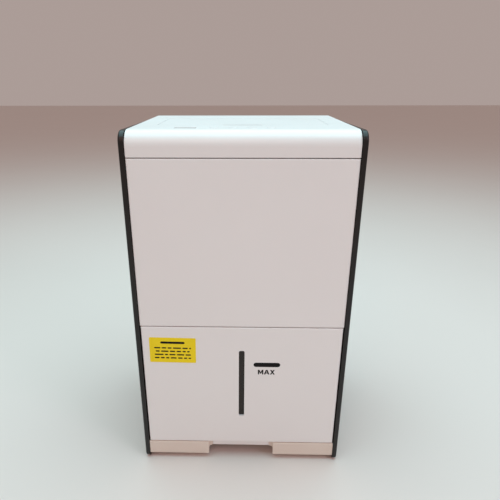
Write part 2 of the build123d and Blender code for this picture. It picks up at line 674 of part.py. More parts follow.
with BuildPart() as fan_scroll:
    with BuildSketch(at_rear(SCROLL_Y[1])):
        with Locations((0, FAN_Z)):
            Circle(SCROLL)
        with Locations(((DUCT_LEFT + SCROLL) / 2, (FAN_Z + DUCT_TOP) / 2)):
            Rectangle(SCROLL - DUCT_LEFT, DUCT_TOP - FAN_Z)
    extrude(amount=SCROLL_Y[1] - SCROLL_Y[0])
    with BuildSketch(at_rear(SCROLL_Y[1] - SCROLL_WALL)):
        with Locations((0, FAN_Z)):
            Circle(SCROLL - SCROLL_WALL)
        with Locations(((DUCT_LEFT + SCROLL) / 2, (FAN_Z + DUCT_TOP) / 2)):
            Rectangle(SCROLL - DUCT_LEFT - 2 * SCROLL_WALL, DUCT_TOP - FAN_Z)
    extrude(amount=SCROLL_Y[1] - SCROLL_Y[0] - 2 * SCROLL_WALL, mode=Mode.SUBTRACT)
    inlet_hole = INLET + INLET_WALL + 0.2
    round_y(0, (SCROLL_Y[1] - SCROLL_WALL, SCROLL_Y[1]), FAN_Z, inlet_hole, Mode.SUBTRACT)
    round_y(0, (SCROLL_Y[0], SCROLL_Y[0] + SCROLL_WALL), FAN_Z, SHAFT_HOLE, Mode.SUBTRACT)
save(fan_scroll, "fan_scroll")

with BuildPart() as inlet_ring:
    through = (SCROLL_Y[1] - SCROLL_WALL, SCROLL_Y[1] + RING_PROUD)
    round_y(0, through, FAN_Z, INLET + INLET_WALL)
    round_y(0, (SCROLL_Y[1], SCROLL_Y[1] + RING_PROUD), FAN_Z, INLET_LIP)
    round_y(0, through, FAN_Z, INLET, Mode.SUBTRACT)
save(inlet_ring, "inlet_ring")

with BuildPart() as fan_wheel:
    round_y(0, (WHEEL_Y[0], WHEEL_Y[0] + DISC), FAN_Z, WHEEL)
    round_y(0, (WHEEL_Y[0], WHEEL_Y[0] + HUB_LONG), FAN_Z, HUB)
    round_y(0, (WHEEL_Y[1] - DISC, WHEEL_Y[1]), FAN_Z, WHEEL)
    round_y(0, (WHEEL_Y[1] - DISC, WHEEL_Y[1]), FAN_Z, WHEEL - BLADE_DEEP - DISC, Mode.SUBTRACT)
    with BuildSketch(at_rear(WHEEL_Y[1] - DISC / 2)):
        with Locations((0, FAN_Z)), PolarLocations(BLADE_RING, BLADE_COUNT):
            with Locations(Location((0, 0, 0), (0, 0, BLADE_TURN))):
                Rectangle(BLADE_DEEP, BLADE_THICK)
    extrude(amount=WHEEL_Y[1] - WHEEL_Y[0] - DISC)
    round_y(0, (WHEEL_Y[0], WHEEL_Y[0] + HUB_LONG), FAN_Z, SHAFT, Mode.SUBTRACT)
save(fan_wheel, "fan_wheel")

with BuildPart() as fan_shaft:
    round_y(0, (MOTOR_Y[0] + 8, WHEEL_Y[0] + HUB_LONG), FAN_Z, SHAFT)
save(fan_shaft, "fan_shaft")

with BuildPart() as fan_motor:
    round_y(0, MOTOR_Y, FAN_Z, MOTOR)
    fillet(fan_motor.edges().filter_by(GeomType.CIRCLE), MOTOR_ROUND)
    round_y(0, (MOTOR_Y[0] + 6, MOTOR_Y[1]), FAN_Z, SHAFT + CLOSE_FIT, Mode.SUBTRACT)
save(fan_motor, "fan_motor")

with BuildPart() as motor_bracket:
    round_y(0, (MOTOR_Y[1], SCROLL_Y[0]), FAN_Z, BRACKET[1])
    round_y(0, (MOTOR_Y[1], SCROLL_Y[0]), FAN_Z, BRACKET[0], Mode.SUBTRACT)
save(motor_bracket, "motor_bracket")

# ---------------------------------------------------------------- compressor and refrigerant pipes
SHELL = 46.0
SHELL_Z = (36.0, 196.0)
SHELL_WALL = 3.0
SHELL_ROUND = 14.0
SHELL_SEAM = 128.0  # weld between the two halves
CORE = (36.0, 58.0, 148.0)  # motor and pump: radius, lowest and highest z
GROMMET_Z = (BOLT_BOSS_TOP, 30.0)
GROMMET = 8.0
PLATE_Z = (30.0, 33.0)
PLATE_HOLE = 4.1
FOOT_EAR = 9.0
GROMMET_TOP = PLATE_Z[1] + 3.0
cx, cy = COMPRESSOR

NECK = 30.0  # foot between the plate and the shell
PLATE_HUB = SHELL - 12.0  # middle of the foot plate

with BuildPart() as shell_space:
    post(cx, cy, (SHELL_Z[0] + SHELL_WALL, SHELL_Z[1] - SHELL_WALL), SHELL - SHELL_WALL)
    fillet(shell_space.edges().filter_by(GeomType.CIRCLE), SHELL_ROUND - SHELL_WALL)

with BuildPart() as compressor:
    post(cx, cy, SHELL_Z, SHELL)
    fillet(compressor.edges().filter_by(GeomType.CIRCLE), SHELL_ROUND)
    post(cx, cy, (PLATE_Z[0], SHELL_Z[0] + SHELL_WALL / 2), NECK)
    with BuildSketch(Plane.XY.offset(PLATE_Z[0])):
        with Locations(*BOLTS):
            Circle(FOOT_EAR)
        with Locations(COMPRESSOR):
            Circle(PLATE_HUB)
        make_hull()
    extrude(amount=PLATE_Z[1] - PLATE_Z[0])
    for x, y in BOLTS:
        post(x, y, PLATE_Z, PLATE_HOLE, Mode.SUBTRACT)
    add(shell_space.part, mode=Mode.SUBTRACT)
    split(bisect_by=Plane.XY.offset(SHELL_SEAM), keep=Keep.BOTH)
save(compressor, "compressor")

with BuildPart() as compressor_core:
    post(cx, cy, CORE[1:], CORE[0])
    # legs down to the floor of the shell
    post(cx, cy, (SHELL_Z[0] + SHELL_WALL, CORE[1]), CORE[0] / 2)
    fillet(compressor_core.edges().group_by(Axis.Z)[-1], 4.0)
save(compressor_core, "compressor_core")

with BuildPart() as compressor_grommets:
    for x, y in BOLTS:
        post(x, y, GROMMET_Z, GROMMET)
        post(x, y, (PLATE_Z[0], GROMMET_TOP), PLATE_HOLE - FIT)
        post(x, y, (PLATE_Z[1], GROMMET_TOP), GROMMET - 0.5)
    for x, y in BOLTS:
        post(x, y, (GROMMET_Z[0], GROMMET_TOP), BOLT + 0.2, Mode.SUBTRACT)
save(compressor_grommets, "compressor_grommets")

with BuildPart() as compressor_bolts:
    for x, y in BOLTS:
        post(x, y, (BASE_FLOOR, GROMMET_TOP), BOLT)
        with BuildSketch(Plane.XY.offset(GROMMET_TOP)):
            with Locations((x, y)):
                RegularPolygon(BOLT_HEAD, 6)
        extrude(amount=4.0)
save(compressor_bolts, "compressor_bolts")

COVER_BOX_Z = (110.0, 150.0)
COVER_BOX_HALF = 16.0
COVER_BOX_PROUD = 12.0

with BuildPart() as terminal_cover:
    proud = (cx - SHELL - COVER_BOX_PROUD, cx - SHELL + COVER_BOX_PROUD / 2)
    block(proud, (cy - COVER_BOX_HALF, cy + COVER_BOX_HALF), COVER_BOX_Z)
    fillet(terminal_cover.edges().filter_by(Axis.Z), 4.0)
    post(cx, cy, COVER_BOX_Z, SHELL, Mode.SUBTRACT)
save(terminal_cover, "terminal_cover")


def pipe(name, radius, bend, points):
    """A round pipe along straight runs with round bends."""
    with BuildPart() as run:
        with BuildLine() as route:
            FilletPolyline(*points, radius=bend)
        start = Plane(origin=route.line @ 0, z_dir=route.line % 0)
        with BuildSketch(start):
            Circle(radius)
        sweep(path=route.line)
    save(run, name)


PIPE_HIGH = 222.0
DISCHARGE_AT = cx + 20.0
SUCTION_Z = 120.0
DISCHARGE = 3.0
CAPILLARY = 1.2
LIQUID = 2.0
DRIER = 6.0
pipe(
    "discharge_pipe",
    DISCHARGE,
    2 * DISCHARGE,
    [
        (DISCHARGE_AT, CONDENSER_Y, SHELL_Z[1]),
        (DISCHARGE_AT, CONDENSER_Y, PIPE_HIGH),
        (DISCHARGE_X, CONDENSER_Y, PIPE_HIGH),
        (DISCHARGE_X, CONDENSER_Y, ROW_HIGH),
        (PORT_X, CONDENSER_Y, ROW_HIGH),
    ],
)
pipe(
    "suction_pipe",
    TUBE,
    5.5,
    [
        (PORT_X, EVAPORATOR_Y, ROW_HIGH),
        (SUCTION_X, EVAPORATOR_Y, ROW_HIGH),
        (SUCTION_X, EVAPORATOR_Y, SUCTION_Z),
        (SUCTION_X, cy, SUCTION_Z),
        (cx + SHELL, cy, SUCTION_Z),
    ],
)

DRIER_X = 122.0
DRIER_Z = (258.0, 286.0)
CAPILLARY_Z = SHELF_TOP + 5.0

with BuildPart() as filter_drier:
    post(DRIER_X, CONDENSER_Y, DRIER_Z, DRIER)
    fillet(filter_drier.edges().filter_by(GeomType.CIRCLE), 2.5)
save(filter_drier, "filter_drier")

pipe(
    "liquid_pipe",
    LIQUID,
    3.0,
    [
        (PORT_X, CONDENSER_Y, ROW_LOW),
        (DRIER_X, CONDENSER_Y, ROW_LOW),
        (DRIER_X, CONDENSER_Y, DRIER_Z[1]),
    ],
)
pipe(
    "capillary_tube",
    CAPILLARY,
    4.0,
    [
        (DRIER_X, CONDENSER_Y, DRIER_Z[0]),
        (DRIER_X, CONDENSER_Y, CAPILLARY_Z),
        (DRIER_X, EVAPORATOR_Y, CAPILLARY_Z),
        (DRIER_X, EVAPORATOR_Y, ROW_LOW),
        (PORT_X, EVAPORATOR_Y, ROW_LOW),
    ],
)

# ---------------------------------------------------------------- electrics
BAY_REAR = BAY_BACK + BAY_WALL

ELECTRICS_X = (-128.0, -52.0)
ELECTRICS_Y = (BAY_REAR, BAY_REAR + 42.0)
ELECTRICS_Z = (70.0, 170.0)
ELECTRICS_WALL = 3.0
# what stands on the power board: lowest and highest x, height off the board, lowest and highest z
TRANSFORMER = ((-116.0, -96.0), 19.4, (84.0, 108.0))
RELAY = ((-84.0, -64.0), 15.4, (84.0, 104.0))
TERMINALS = ((-110.0, -70.0), 9.4, (124.0, 138.0))
CAPACITOR = (-96.0, 70.0)
CAPACITOR_R = 19.0
CAPACITOR_HIGH = 78.0
SENSOR_Z = (300.0, 320.0)
SENSOR_WIDE = 10.0

with BuildPart() as electrics_box:
    block(ELECTRICS_X, ELECTRICS_Y, ELECTRICS_Z)
    fillet(electrics_box.edges().filter_by(Axis.Z), 4.0)
    block(
        (ELECTRICS_X[0] + ELECTRICS_WALL, ELECTRICS_X[1] - ELECTRICS_WALL),
        (ELECTRICS_Y[0] + ELECTRICS_WALL, ELECTRICS_Y[1] - ELECTRICS_WALL),
        (ELECTRICS_Z[0] + ELECTRICS_WALL, ELECTRICS_Z[1]),
        Mode.SUBTRACT,
    )
save(electrics_box, "electrics_box")

BOARD_BACK = ELECTRICS_Y[0] + ELECTRICS_WALL
BOARD_FACE = BOARD_BACK + BOARD

with BuildPart() as power_board:
    across = (ELECTRICS_X[0] + 2 * ELECTRICS_WALL, ELECTRICS_X[1] - 2 * ELECTRICS_WALL)
    block(across, (BOARD_BACK, BOARD_FACE), (ELECTRICS_Z[0] + 6, ELECTRICS_Z[1] - 10))
    for x, high, z in (TRANSFORMER, RELAY, TERMINALS):
        block(x, (BOARD_FACE, BOARD_FACE + high), z)
save(power_board, "power_board")

with BuildPart() as run_capacitor:
    post(*CAPACITOR, (BASE_FLOOR, BASE_FLOOR + CAPACITOR_HIGH), CAPACITOR_R)
    fillet(run_capacitor.edges().group_by(Axis.Z)[-1], 2.0)
save(run_capacitor, "run_capacitor")

with BuildPart() as humidity_sensor:
    x = -COVER_X + WALL
    block((x, x + SENSOR_WIDE), (BACK - COVER_RETURN, BACK - WALL - 1.2), SENSOR_Z)
save(humidity_sensor, "humidity_sensor")

FLOAT_X = -60.0
REED_HALF = 8.0
REED_Z = (188.0, 206.0)

with BuildPart() as tank_sensor:
    block((FLOAT_X - REED_HALF, FLOAT_X + REED_HALF), (BAY_REAR, BAY_REAR + REED_HALF), REED_Z)
save(tank_sensor, "tank_sensor")

# ---------------------------------------------------------------- tank front, window and label
TANK_X = COVER_X - 1.0  # the tank front has more play at its sides than the covers
SLOT_X = 0.6
SLOT_WIDE = 8.2
SLOT_Z = (84.0, 198.9)
SLOT_ROUND = 2.5
WINDOW_THICK = 1.6
WINDOW_EDGE = 4.0  # how far the window reaches past the slot
LABEL = (66.3, 40.8)
LABEL_AT = (-98.2, 198.9)
LABEL_TURN = -0.9
LABEL_THICK = 0.3

with BuildPart() as tank_front:
    block((-TANK_X, TANK_X), (FACE, FACE + COVER_RETURN), (TANK_BOTTOM, TANK_TOP))
    fillet(tank_front.faces().sort_by(Axis.Y)[0].edges(), EDGE_ROUND)
    block(
        (-TANK_X + WALL, TANK_X - WALL),
        (FACE + WALL, FACE + COVER_RETURN),
        (TANK_BOTTOM + WALL, TANK_TOP - WALL),
        Mode.SUBTRACT,
    )
    block(
        (-LIP_X, LIP_X),
        (FACE + BAND_BACK, FACE + BAND_BACK + BAND_THICK),
        (BAND_BOTTOM, TANK_BOTTOM + 1),
    )
    fillet(tank_front.edges().filter_by(Axis.X).group_by(Axis.Z)[0], 1.2)
    with BuildSketch(at_rear(FACE + WALL)):
        with Locations((SLOT_X, sum(SLOT_Z) / 2)):
            RectangleRounded(SLOT_WIDE, SLOT_Z[1] - SLOT_Z[0], SLOT_ROUND)
    extrude(amount=WALL, mode=Mode.SUBTRACT)
save(tank_front, "tank_front")

with BuildPart() as level_window:
    with BuildSketch(at_rear(FACE + WALL + WINDOW_THICK)):
        with Locations((SLOT_X, sum(SLOT_Z) / 2)):
            high = SLOT_Z[1] - SLOT_Z[0] + 2 * WINDOW_EDGE
            RectangleRounded(SLOT_WIDE + 2 * WINDOW_EDGE, high, SLOT_ROUND)
    extrude(amount=WINDOW_THICK)
save(level_window, "level_window")

with BuildPart() as notice_label:
    with BuildSketch(at_rear(FACE)):
        with Locations(Location((*LABEL_AT, 0), (0, 0, LABEL_TURN))):
            RectangleRounded(*LABEL, 1.5)
    extrude(amount=LABEL_THICK)
save(notice_label, "notice_label")

# ---------------------------------------------------------------- tank
BIN_X = 134.0
BIN_Y = (FACE + WALL + WINDOW_THICK, BAY_BACK - 5)
BIN_Z = (TANK_BOTTOM + WALL, 222.0)
BIN_WALL = 2.0
BIN_ROUND = 8.0
PIVOT_Y = BIN_Y[1] - 12.0
PIVOT_Z = 192.0
PIVOT_PIN = 2.0
EAR_IN = 13.0
EAR_OUT = 16.0
EAR_HALF = 6.0

with BuildPart() as tank_body:
    block((-BIN_X, BIN_X), BIN_Y, BIN_Z)
    fillet(tank_body.edges().filter_by(Axis.Z), BIN_ROUND)
    block(
        (-BIN_X + BIN_WALL, BIN_X - BIN_WALL),
        (BIN_Y[0] + BIN_WALL, BIN_Y[1] - BIN_WALL),
        (BIN_Z[0] + BIN_WALL, BIN_Z[1]),
        Mode.SUBTRACT,
    )
    for side in (-1, 1):
        ear = sorted((FLOAT_X + side * EAR_IN, FLOAT_X + side * EAR_OUT))
        block(ear, (PIVOT_Y - EAR_HALF, BIN_Y[1] - BIN_WALL), (PIVOT_Z - EAR_HALF, PIVOT_Z + EAR_HALF))
    ears = (FLOAT_X - EAR_OUT, FLOAT_X + EAR_OUT)
    round_x(ears, PIVOT_Y, PIVOT_Z, PIVOT_PIN + PIN_PLAY, Mode.SUBTRACT)
save(tank_body, "tank_body")

LID_Z = (BIN_Z[1], BIN_Z[1] + 2.5)
LID_HOLE = (56.0, 32.0)

with BuildPart() as tank_lid:
    block((-BIN_X, BIN_X), BIN_Y, LID_Z)
    fillet(tank_lid.edges().filter_by(Axis.Z), BIN_ROUND)
    block(
        (-LID_HOLE[0], LID_HOLE[0]),
        (SPOUT_Y - LID_HOLE[1], SPOUT_Y + LID_HOLE[1]),
        LID_Z,
        Mode.SUBTRACT,
    )
save(tank_lid, "tank_lid")

HANDLE_X = LID_HOLE[0] + 6
HANDLE_Y = SPOUT_Y + 18
HANDLE_HALF = 7.0
HANDLE_END = 5.0
HANDLE_HIGH = 9.0
HANDLE_SPACE = 4.0

with BuildPart() as tank_handle:
    across = (-HANDLE_X - HANDLE_END, HANDLE_X + HANDLE_END)
    deep = (HANDLE_Y - HANDLE_HALF, HANDLE_Y + HANDLE_HALF)
    block(across, deep, (LID_Z[1], LID_Z[1] + HANDLE_HIGH))
    fillet(tank_handle.edges().filter_by(Axis.Y).group_by(Axis.Z)[-1], 4.0)
    under = (LID_Z[1], LID_Z[1] + HANDLE_SPACE)
    block((-LID_HOLE[0], LID_HOLE[0]), deep, under, Mode.SUBTRACT)
save(tank_handle, "tank_handle")

# ---------------------------------------------------------------- float and its magnet
FLOAT_Y = (PIVOT_Y - 56.0, PIVOT_Y - 20.0)
FLOAT_Z = (PIVOT_Z - 22.0, PIVOT_Z - 4.0)
FLOAT_HALF = 22.0
ARM_HALF = 4.0
ARM_Z = (PIVOT_Z - 8.0, PIVOT_Z - 2.0)
BARREL_R = 4.0
MAGNET_Y = (PIVOT_Y + 1.0, PIVOT_Y + 4.0)
MAGNET_Z = PIVOT_Z + 7.0
MAGNET = 2.5
END_PLAY = 0.5
arm = (FLOAT_X - ARM_HALF, FLOAT_X + ARM_HALF)

with BuildPart() as tank_float:
    block((FLOAT_X - FLOAT_HALF, FLOAT_X + FLOAT_HALF), FLOAT_Y, FLOAT_Z)
    fillet(tank_float.edges().filter_by(Axis.Z), 5.0)
    block(arm, (FLOAT_Y[1] - 4, PIVOT_Y), ARM_Z)
    barrel = (FLOAT_X - EAR_IN + END_PLAY, FLOAT_X + EAR_IN - END_PLAY)
    round_x(barrel, PIVOT_Y, PIVOT_Z, BARREL_R)
    round_x((FLOAT_X - EAR_OUT + 0.2, FLOAT_X + EAR_OUT - 0.2), PIVOT_Y, PIVOT_Z, PIVOT_PIN)
    block(arm, (PIVOT_Y - ARM_HALF, PIVOT_Y + ARM_HALF), (PIVOT_Z, MAGNET_Z + 3))
    round_y(FLOAT_X, MAGNET_Y, MAGNET_Z, MAGNET, Mode.SUBTRACT)
save(tank_float, "tank_float")

with BuildPart() as float_magnet:
    round_y(FLOAT_X, MAGNET_Y, MAGNET_Z, MAGNET)
save(float_magnet, "float_magnet")
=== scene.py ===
"""Looks of a free-standing compressor dehumidifier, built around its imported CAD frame.

Each sub-assembly is a class: it dresses the CAD nodes whose shape is right, and builds the pieces
that need finer detail than CAD gives. Everything is in metres, in the frame of the CAD model.
"""

import logging
import math
from dataclasses import dataclass
from enum import Enum
from typing import Iterable, Optional, Sequence

import bmesh
import bpy
from mathutils import Matrix, Vector


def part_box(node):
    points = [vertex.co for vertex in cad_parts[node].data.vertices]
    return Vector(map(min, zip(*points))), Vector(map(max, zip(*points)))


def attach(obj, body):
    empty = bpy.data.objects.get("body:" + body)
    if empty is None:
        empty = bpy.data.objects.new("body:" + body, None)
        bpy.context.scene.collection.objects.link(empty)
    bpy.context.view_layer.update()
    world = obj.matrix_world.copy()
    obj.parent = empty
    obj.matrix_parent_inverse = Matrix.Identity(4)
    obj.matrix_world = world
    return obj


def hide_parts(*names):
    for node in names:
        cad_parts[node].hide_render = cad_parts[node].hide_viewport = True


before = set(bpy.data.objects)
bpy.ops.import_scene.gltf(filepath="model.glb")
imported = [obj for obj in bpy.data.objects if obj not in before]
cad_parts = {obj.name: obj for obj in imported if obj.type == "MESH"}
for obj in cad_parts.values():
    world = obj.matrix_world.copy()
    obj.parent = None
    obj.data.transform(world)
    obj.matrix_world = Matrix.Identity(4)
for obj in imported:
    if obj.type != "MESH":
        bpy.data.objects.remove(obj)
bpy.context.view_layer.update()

log = logging.getLogger("dehumidifier")
Point = tuple[float, float, float]
Spot = tuple[float, float]
MM = 0.001
SMOOTH_ANGLE = math.radians(35)  # edges sharper than this stay sharp


# ---------------------------------------------------------------- small helpers
def linear(hex_colour: str) -> tuple[float, float, float, float]:
    """Turns an sRGB hex colour into linear RGBA.

    Args:
        hex_colour: Six hex digits after a hash sign.

    Returns:
        Red, green, blue and an alpha of one, linear.
    """
    channels = [int(hex_colour[i : i + 2], 16) / 255 for i in (1, 3, 5)]
    bent = [c / 12.92 if c <= 0.04045 else ((c + 0.055) / 1.055) ** 2.4 for c in channels]
    return (*bent, 1.0)


def add_node(
    tree: bpy.types.NodeTree,
    kind: str,
    settings: Optional[dict[str, object]] = None,
    values: Optional[dict[object, object]] = None,
    links: Optional[dict[object, bpy.types.NodeSocket]] = None,
) -> bpy.types.Node:
    """Adds a node with its settings, its socket values and its incoming links.

    Args:
        tree: The node tree that the node goes into.
        kind: The node's type name.
        settings: Attributes of the node itself.
        values: Default values by input name or index.
        links: Source sockets by input name or index.

    Returns:
        The new node.
    """
    node = tree.nodes.new(kind)
    for key, value in (settings or {}).items():
        setattr(node, key, value)
    for key, value in (values or {}).items():
        node.inputs[key].default_value = value
    for key, source in (links or {}).items():
        tree.links.new(source, node.inputs[key])
    return node


def placed_mesh(name: str, bm: bmesh.types.BMesh, smooth: bool = True) -> bpy.types.Object:
    """Makes an object at the origin from a bmesh that is already in place.

    Args:
        name: The object's name.
        bm: The mesh, which is freed.
        smooth: Whether faces are shaded smooth up to the sharp-edge angle.

    Returns:
        The linked object.
    """
    bmesh.ops.recalc_face_normals(bm, faces=bm.faces)
    mesh = bpy.data.meshes.new(name)
    bm.to_mesh(mesh)
    bm.free()
    piece = bpy.data.objects.new(name, mesh)
    bpy.context.scene.collection.objects.link(piece)
    if smooth:
        mesh.shade_smooth()
        mesh.set_sharp_from_angle(angle=SMOOTH_ANGLE)
    return piece


def rounded_block(
    lo: Sequence[float], hi: Sequence[float], radius: float, steps: int = 2
) -> bmesh.types.BMesh:
    """A box with all its edges rounded.

    Args:
        lo: Lowest corner.
        hi: Highest corner.
        radius: Edge radius.
        steps: Segments in each round.

    Returns:
        The new bmesh.
    """
    bm = bmesh.new()
    bmesh.ops.create_cube(bm, size=1.0)
    size = [h - l for l, h in zip(lo, hi)]
    middle = [(h + l) / 2 for l, h in zip(lo, hi)]
    bmesh.ops.scale(bm, vec=size, verts=bm.verts)
    bmesh.ops.translate(bm, vec=middle, verts=bm.verts)
    if radius > 0:
        # a round a little under half the thinnest side, so that two rounds never meet
        offset = min(radius, min(size) * 0.49)
        bmesh.ops.bevel(
            bm, geom=bm.edges[:], offset=offset, segments=steps, profile=0.5, affect="EDGES"
        )
    return bm


def turned(outline: Sequence[Spot], steps: int = 32) -> bmesh.types.BMesh:
    """A closed solid turned about Z from an outline of radius and height.

    Args:
        outline: Points from the lower pole to the upper pole; the first and last have radius 0.
        steps: Segments round the axis.

    Returns:
        The new bmesh, closed at both poles.
    """
    bm = bmesh.new()
    bottom = bm.verts.new((0, 0, outline[0][1]))
    top = bm.verts.new((0, 0, outline[-1][1]))
    angles = [2 * math.pi * i / steps for i in range(steps)]
    rings = []
    for radius, height in outline[1:-1]:
        rings.append([bm.verts.new((radius * math.cos(a), radius * math.sin(a), height)) for a in angles])
    for i in range(steps):
        j = (i + 1) % steps
        bm.faces.new((bottom, rings[0][j], rings[0][i]))
        bm.faces.new((top, rings[-1][i], rings[-1][j]))
        for low, high in zip(rings, rings[1:]):
            bm.faces.new((low[i], low[j], high[j], high[i]))
    return bm


def settle(
    piece: bpy.types.Object, finish: "Finish", body: str, slot: str, *stands_for: str
) -> bpy.types.Object:
    """Gives a finished piece its material and its body, and hides the CAD nodes it stands for.

    Args:
        piece: The piece, in place.
        finish: Its finish.
        body: The CAD body that it rides on.
        slot: The record's material slot; not used.
        stands_for: CAD nodes that it replaces.

    Returns:
        The same piece.
    """
    if not piece.data.materials:
        piece.data.materials.append(finish.material())
    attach(piece, body)
    if stands_for:
        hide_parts(*stands_for)
    log.info("%s rides on %s (%d faces)", piece.name, body, len(piece.data.polygons))
    return piece


def dress(finish: "Finish", *nodes: str) -> None:
    """Gives CAD nodes a finish.

    Args:
        finish: The finish.
        nodes: CAD node names.
    """
    for name in nodes:
        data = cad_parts[name].data
        data.materials.clear()
        data.materials.append(finish.material())
        log.info("%s keeps its CAD shape", name)


# ---------------------------------------------------------------- finishes
_made: dict[str, bpy.types.Material] = {}


@dataclass(frozen=True)
class Finish:
    """A real material and how its surface was made.

    Attributes:
        name: Material name.
        colour: Main colour as sRGB hex.
        second: A close second colour that the main one drifts to.
        roughness: Middle roughness.
        spread: How far the roughness drifts to each side.
        grain_mm: Size of the surface grain.
        grain_depth: Bump distance of the grain, in millimetres.
        metallic: One for metals.
        ior: Index of refraction, for what isn't metal.
        transmission: Share of light let through.
        coat: Weight of a clear gloss layer.
        drift_mm: Size of the colour drift.
    """

    name: str
    colour: str
    second: str
    roughness: float
    spread: float = 0.05
    grain_mm: float = 1.0
    grain_depth: float = 0.01
    metallic: float = 0.0
    ior: float = 1.5
    transmission: float = 0.0
    coat: float = 0.0
    drift_mm: float = 60.0

    def material(self) -> bpy.types.Material:
        """The Blender material, made once."""
        if self.name not in _made:
            _made[self.name] = self._build()
        return _made[self.name]

    def _build(self) -> bpy.types.Material:
        """Builds the node tree.

        Returns:
            The new material.
        """
        made = bpy.data.materials.new(self.name)
        made.use_nodes = True
        tree = made.node_tree
        tree.nodes.clear()
        place = add_node(tree, "ShaderNodeTexCoord").outputs["Object"]
        drift = add_node(
            tree,
            "ShaderNodeTexNoise",
            values={"Scale": 1 / (self.drift_mm * MM), "Detail": 3.0, "Roughness": 0.55},
            links={"Vector": place},
        )
        mix = add_node(
            tree,
            "ShaderNodeMix",
            {"data_type": "RGBA"},
            {6: linear(self.colour), 7: linear(self.second)},
            {0: drift.outputs["Fac"]},
        )
        smear = add_node(
            tree,
            "ShaderNodeTexNoise",
            values={"Scale": 2.6 / (self.drift_mm * MM), "Detail": 4.0},
            links={"Vector": place},
        )
        rough = add_node(
            tree,
            "ShaderNodeMapRange",
            values={
                "From Min": 0.3,
                "From Max": 0.7,
                "To Min": max(0.02, self.roughness - self.spread),
                "To Max": min(1.0, self.roughness + self.spread),
            },
            links={"Value": smear.outputs["Fac"]},
        )
        height = self.relief(tree, place)
        bump = add_node(
            tree,
            "ShaderNodeBump",
            values={"Strength": 1.0, "Distance": self.grain_depth * MM},
            links={"Height": height},
        )
        values: dict[object, object] = {
            "Metallic": self.metallic,
            "Transmission Weight": self.transmission,
            "Coat Weight": self.coat,
            "Coat Roughness": 0.06,
        }
        if not self.metallic:
            values["IOR"] = self.ior
        shader = add_node(
            tree,
            "ShaderNodeBsdfPrincipled",
            values=values,
            links={
                "Base Color": mix.outputs[2],
                "Roughness": rough.outputs["Result"],
                "Normal": bump.outputs["Normal"],
            },
        )
        add_node(tree, "ShaderNodeOutputMaterial", links={"Surface": shader.outputs["BSDF"]})
        return made

    def relief(self, tree: bpy.types.NodeTree, place: bpy.types.NodeSocket) -> bpy.types.NodeSocket:
        """The height that the bump follows.

        Args:
            tree: The material's tree.
            place: Object coordinates.

        Returns:
            A height socket.
        """
        noise = add_node(
            tree,
            "ShaderNodeTexNoise",
            values={"Scale": 1 / (self.grain_mm * MM), "Detail": 2.0},
            links={"Vector": place},
        )
        return noise.outputs["Fac"]


@dataclass(frozen=True)
class Drawn(Finish):
    """A metal with fine lines from rolling, drawing or turning.

    Attributes:
        along: Stretch of the grain on each axis; a small number makes long lines on that axis.
    """

    along: Point = (0.05, 1.0, 1.0)

    def relief(self, tree: bpy.types.NodeTree, place: bpy.types.NodeSocket) -> bpy.types.NodeSocket:
        """Lines along the drawing direction.

        Args:
            tree: The material's tree.
            place: Object coordinates.

        Returns:
            A height socket.
        """
        stretched = add_node(
            tree, "ShaderNodeMapping", values={"Scale": self.along}, links={"Vector": place}
        )
        lines = add_node(
            tree,
            "ShaderNodeTexNoise",
            values={"Scale": 1 / (self.grain_mm * MM), "Detail": 3.0},
            links={"Vector": stretched.outputs["Vector"]},
        )
        return lines.outputs["Fac"]


# Injection-moulded ABS from a polished tool: bright, with a faint orange-peel waviness about 3 mm long.
WHITE_ABS = Finish(
    "white_abs_polished", "#F0EEEE", "#ECE9E9", 0.3, 0.02, 3.0, 0.006, ior=1.53, drift_mm=140
)
# The same white resin with a duller face, for the base pan; its colour is painted shade, a darker and warmer
# white standing in for the shade that falls on the low base strip.
SHADED_BASE_ABS = Finish(
    "white_abs_painted_shade", "#E6D9CF", "#DDCDC1", 0.34, 0.04, 2.0, 0.01, ior=1.53, drift_mm=60
)
# The same resin in black-brown from a polished tool, semi-gloss, for the side panels.
DARK_ABS = Finish(
    "dark_abs_polished", "#120E0C", "#161110", 0.34, 0.015, 2.5, 0.004, ior=1.45, drift_mm=120
)
# Grey ABS from a spark-eroded tool: a fine even texture of about half a millimetre.
GREY_ABS = Finish("grey_abs_textured", "#9B9B9D", "#8F8F92", 0.5, 0.08, 0.5, 0.03, ior=1.53)
# Black polypropylene, satin, as on fans and terminal covers.
BLACK_PP = Finish("black_polypropylene_satin", "#1B1B1D", "#232326", 0.42, 0.08, 0.7, 0.02, ior=1.49)
# Clear styrene of the tank: moulded, a little milky.
CLEAR_SAN = Finish(
    "clear_san_moulded", "#D3E2EA", "#C8DAE4", 0.16, 0.05, 5.0, 0.01, ior=1.57, transmission=0.82
)
# White ABS thinned from behind, so that only the outline of the display shows while it is off.
DEAD_FRONT = Finish(
    "white_abs_thin_window", "#E4E5E5", "#E0E1E1", 0.14, 0.02, 4.0, 0.004, ior=1.53, drift_mm=80
)
# Smoke-brown clear sheet behind the level slot: nearly black over the tank's dark inside, glossy.
SMOKED = Finish(
    "smoked_acrylic", "#1D1613", "#2B221C", 0.16, 0.03, 6.0, 0.004,
    ior=1.42, transmission=0.1, drift_mm=90,
)
# Printed vinyl film, semi-gloss, a little uneven where it was rolled on.
YELLOW_VINYL = Finish(
    "yellow_vinyl_printed", "#FBE200", "#F4D800", 0.42, 0.06, 2.0, 0.01, ior=1.42, drift_mm=25
)
# Pad-printing ink, matt and slightly raised.
BLACK_INK = Finish("black_printing_ink", "#060405", "#0A0808", 0.55, 0.05, 0.3, 0.004, ior=1.3)
# Moulded rubber with a dusty bloom.
BLACK_RUBBER = Finish("black_rubber_moulded", "#1A1A1A", "#262525", 0.75, 0.1, 0.6, 0.03, ior=1.52)
